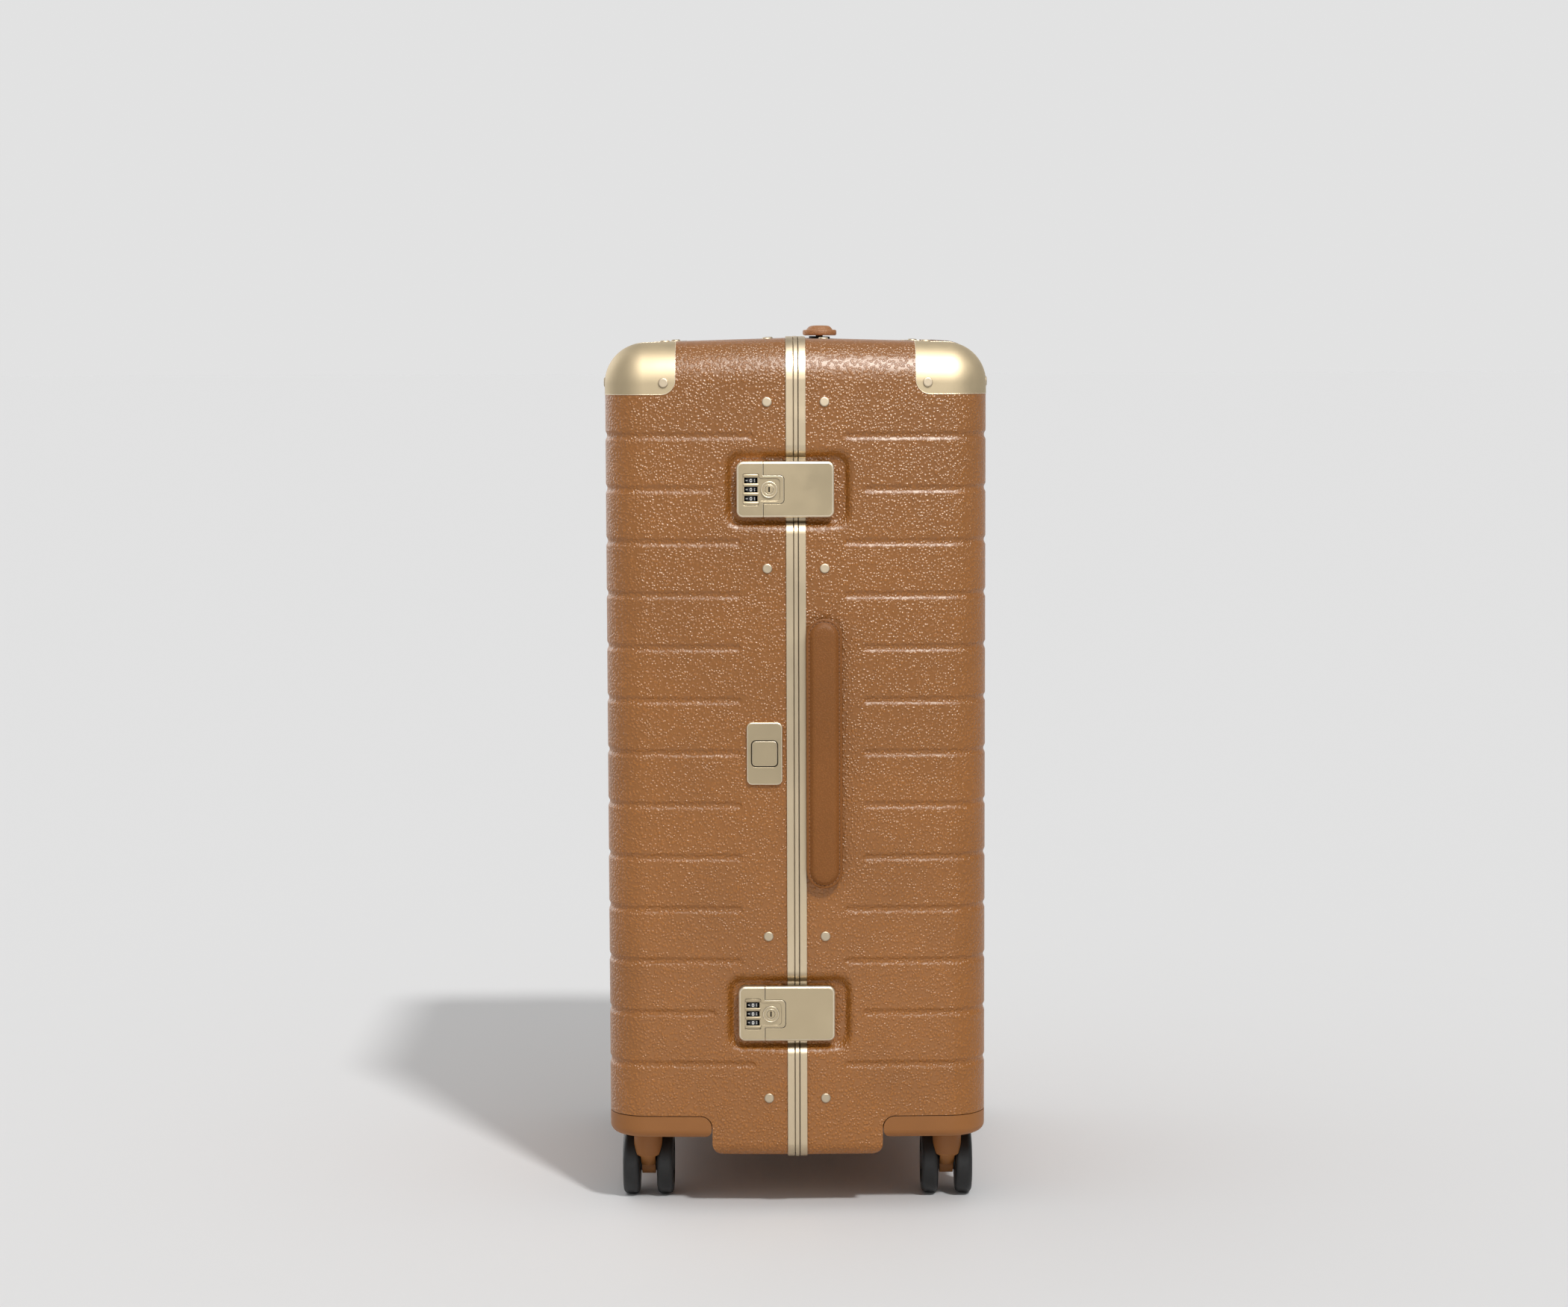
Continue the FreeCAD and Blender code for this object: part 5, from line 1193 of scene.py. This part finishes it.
@dataclass
class Lining:
    """Woven cloth that lines one half, slightly wavy between its fixings."""

    half: Half
    step: float = 0.016
    rounds: int = 7
    hem: float = 0.008
    hem_run: float = 0.03
    waver: float = 0.00045
    waves: float = 13.0
    ripples: float = 41.0
    ripple: float = 0.35
    fold: float = 50.0

    def build(self, palette: Palette) -> None:
        """Make the lining from the shape of its solid."""
        name = self.half.value + "_lining"
        low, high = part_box(name)
        middle = (low + high) / 2.0
        mesh = bpy.data.objects[name].data.copy()
        work = bmesh.new()
        work.from_mesh(mesh)
        bmesh.ops.remove_doubles(work, verts=work.verts, dist=MERGE)
        for _ in range(self.rounds):
            wide = [e for e in work.edges if e.calc_length() > self.step]
            if not wide:
                break
            bmesh.ops.subdivide_edges(work, edges=wide, cuts=1)
            bmesh.ops.triangulate(work, faces=[f for f in work.faces if len(f.verts) > 3])
        rim = high.x if self.half is Half.LID else low.x
        for vert in work.verts:
            depth = abs(vert.co.x - rim)
            fade = max(0.0, min(1.0, (depth - self.hem) / self.hem_run))
            wave = noise.noise(vert.co * self.waves) + self.ripple * noise.noise(vert.co * self.ripples)
            vert.co += (middle - vert.co).normalized() * (fade * max(0.0, wave) * self.waver)
        bmesh.ops.recalc_face_normals(work, faces=work.faces)
        work.to_mesh(mesh)
        work.free()
        piece = placed(self.half.value + "_lining_cloth", mesh, palette.lining)
        sharp_by_angle(piece, self.fold)
        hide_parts(name)
        seat(piece, self.half.value)


# Studio


@dataclass(frozen=True)
class Softbox:
    """Box light that only glossy surfaces show."""

    name: str
    at: tuple[float, float, float]
    towards: tuple[float, float, float]
    size: tuple[float, float]
    watts: float

    def build(self) -> None:
        """Hang the light and aim it."""
        lamp = bpy.data.lights.new(self.name, "AREA")
        lamp.shape = "RECTANGLE"
        lamp.size, lamp.size_y = self.size
        lamp.energy = self.watts
        holder = bpy.data.objects.new(self.name, lamp)
        holder.location = self.at
        aim = Vector(self.towards) - Vector(self.at)
        holder.rotation_euler = aim.to_track_quat("-Z", "Y").to_euler()
        holder.visible_diffuse = False
        holder.visible_camera = False
        bpy.context.scene.collection.objects.link(holder)


@dataclass
class Studio:
    """Pale floor, sky, one soft key light, two box lights for the sheen and the camera."""

    backdrop: float = 0.762
    behind: float = 0.56
    wall_range: Span = (0.0, 0.7)
    zenith: float = 0.3
    zenith_range: Span = (0.2, 0.95)
    sky_low: float = 0.14
    sky_high: float = 0.78
    side_drop: float = 0.3
    side_range: Span = (0.25, 0.8)
    slant_end: float = 0.7
    glow: float = 0.9
    glow_range: Span = (0.45, 0.95)
    flank: float = 2.2
    flank_range: Span = (-0.65, -0.25)
    flank_depth: Span = (0.2, 0.6)
    floor_colour: float = 0.79
    floor_half: float = 60.0
    floor_grain: float = 220.0
    floor_relief: float = 0.00001
    floor_bump: float = 0.1
    key_strength: float = 1.5
    key_towards: tuple[float, float, float] = (-0.29, 0.58, -0.76)
    key_angle: float = 5.0
    softboxes: tuple[Softbox, ...] = (
        Softbox("overhead_box", (0.26, -0.9, 1.6), (0.08, -0.2, 0.6), (0.6, 0.6), 37.0),
        Softbox("low_box", (0.0, -0.8, 0.07), (0.0, -0.2, 0.13), (0.9, 0.12), 0.55),
    )
    lens: float = 77.41
    sensor: float = 36.0
    sight: float = 200.0
    eye: tuple[float, float, float] = (-0.011, -3.2076, 0.795)
    pitch: float = 5.459
    roll: float = -0.187

    def floor(self) -> None:
        """Large matt floor that keeps the shadow."""
        surface = Surface("studio_floor")
        paper = surface.speckle(self.floor_grain).outputs["Fac"]
        surface.relief(paper, self.floor_relief, self.floor_bump)
        level = (self.floor_colour,) * 3
        material = surface.done(Base_Color=(*level, 1.0), Roughness=1.0, Specular_IOR_Level=0.0)
        size = self.floor_half
        mesh = bpy.data.meshes.new("studio_floor")
        corners = [(-size, -size, 0.0), (size, -size, 0.0), (size, size, 0.0), (-size, size, 0.0)]
        mesh.from_pydata(corners, [], [(0, 1, 2, 3)])
        mesh.materials.append(material)
        plane = bpy.data.objects.new("studio_floor", mesh)
        bpy.context.scene.collection.objects.link(plane)

    def world(self) -> None:
        """Sky that lights matt surfaces, the scenery that gloss shows and the backdrop behind the case."""
        world = bpy.data.worlds.new("studio_sky")
        bpy.context.scene.world = world
        world.use_nodes = True
        sky = Nodes(world.node_tree)
        towards = sky.add("ShaderNodeTexCoord").outputs["Generated"]
        aside, away, up = sky.add("ShaderNodeSeparateXYZ", {"Vector": towards}).outputs
        wash = sky.spread(up, (0.0, 1.0), (self.sky_low, self.sky_high), "LINEAR")
        glow = sky.spread(away, self.glow_range, (0.0, self.glow))
        ends = (-self.slant_end, self.slant_end)
        slant = sky.spread(aside, ends, (1.0 + self.side_drop, 1.0 - self.side_drop), "LINEAR")
        light = sky.reckon("MULTIPLY", sky.reckon("MAXIMUM", wash, glow), slant)
        wall = sky.spread(away, self.wall_range, (self.behind, self.backdrop))
        overhead = sky.spread(up, self.zenith_range, (0.0, 1.0))
        shown = sky.add("ShaderNodeMix", {"Factor": overhead, "A": wall, "B": self.zenith}).outputs["Result"]
        near, far = self.side_range
        left = sky.spread(aside, (-far, -near), (1.0 + self.side_drop, 1.0))
        right = sky.spread(aside, (near, far), (0.0, -self.side_drop))
        shown = sky.reckon("MULTIPLY", shown, sky.reckon("ADD", left, right))
        flank = sky.spread(aside, self.flank_range, (self.flank, 0.0))
        ahead = sky.spread(away, self.flank_depth, (0.0, 1.0))
        shown = sky.reckon("ADD", shown, sky.reckon("MULTIPLY", flank, ahead))
        ray = sky.add("ShaderNodeLightPath").outputs
        even = {"Factor": ray["Is Camera Ray"], "A": shown, "B": self.backdrop}
        shown = sky.add("ShaderNodeMix", even).outputs["Result"]
        lamp, scenery = (
            sky.add("ShaderNodeBackground", {"Color": (1.0,) * 4, "Strength": level}).outputs["Background"]
            for level in (light, shown)
        )
        seen = sky.reckon("MAXIMUM", ray["Is Camera Ray"], ray["Is Glossy Ray"])
        seen = sky.reckon("MAXIMUM", seen, ray["Is Transmission Ray"])
        mix = sky.add("ShaderNodeMixShader", {"Fac": seen, 1: lamp, 2: scenery})
        sky.add("ShaderNodeOutputWorld", {"Surface": mix.outputs["Shader"]})

    def key(self) -> None:
        """Soft key light from the front, the right and above."""
        lamp = bpy.data.lights.new("key_light", "SUN")
        lamp.energy = self.key_strength
        lamp.angle = math.radians(self.key_angle)
        holder = bpy.data.objects.new("key_light", lamp)
        holder.rotation_euler = Vector(self.key_towards).to_track_quat("-Z", "Y").to_euler()
        holder.visible_glossy = False
        bpy.context.scene.collection.objects.link(holder)

    def camera(self) -> None:
        """Camera at the photograph's viewing angle."""
        data = bpy.data.cameras.new("camera")
        data.lens = self.lens
        data.sensor_width = self.sensor
        data.sensor_fit = "HORIZONTAL"
        data.clip_end = self.sight
        holder = bpy.data.objects.new("camera", data)
        tilt = Matrix.Rotation(math.radians(90.0 - self.pitch), 4, "X")
        level = Matrix.Rotation(math.radians(self.roll), 4, "Z")
        holder.matrix_world = Matrix.Translation(self.eye) @ tilt @ level
        bpy.context.scene.collection.objects.link(holder)
        bpy.context.scene.camera = holder

    def build(self) -> None:
        """Set up the whole studio."""
        bpy.context.scene.view_settings.view_transform = "Standard"
        self.floor()
        self.world()
        self.key()
        for box in self.softboxes:
            box.build()
        self.camera()


def dress_solids(nodes: dict[str, bpy.types.Object], palette: Palette) -> None:
    """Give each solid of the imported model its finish.

    Args:
        nodes: The solids by name.
        palette: The case's finishes.
    """
    for name, node in sorted(nodes.items()):
        material = palette.of_node(name)
        if material is not None:
            node.data.materials.clear()
            node.data.materials.append(material)
            LOG.info("%s: %s", name, material.name)


def main() -> None:
    """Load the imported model, dress it and set up the studio."""
    logging.basicConfig(level=logging.INFO, format="%(name)s: %(message)s")
    bpy.ops.wm.read_factory_settings(use_empty=True)
    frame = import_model()
    palette = Palette()
    dress_solids(frame["nodes"], palette)
    beads = EvenBeads()
    CarryHandle("side_handle", along=UP, out=FRONT, leg_at=0.095).build(palette, beads)
    CarryHandle("top_handle", along=REAR, out=UP, leg_at=0.076).build(palette, beads)
    for lock in ("upper", "lower"):
        LockFace(lock).build(palette)
    for half in Half:
        for end in ("front", "rear"):
            CornerHem(half, end).build(palette)
        Lining(half).build(palette)
    # Painted highlight on the rounded front edges of the centre catch
    for node in ("catch_plate", "catch_button"):
        brighten_edges(node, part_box(node)[0].y + CATCH_BEVEL, palette)
    Studio().build()


if __name__ == "__main__":
    main()
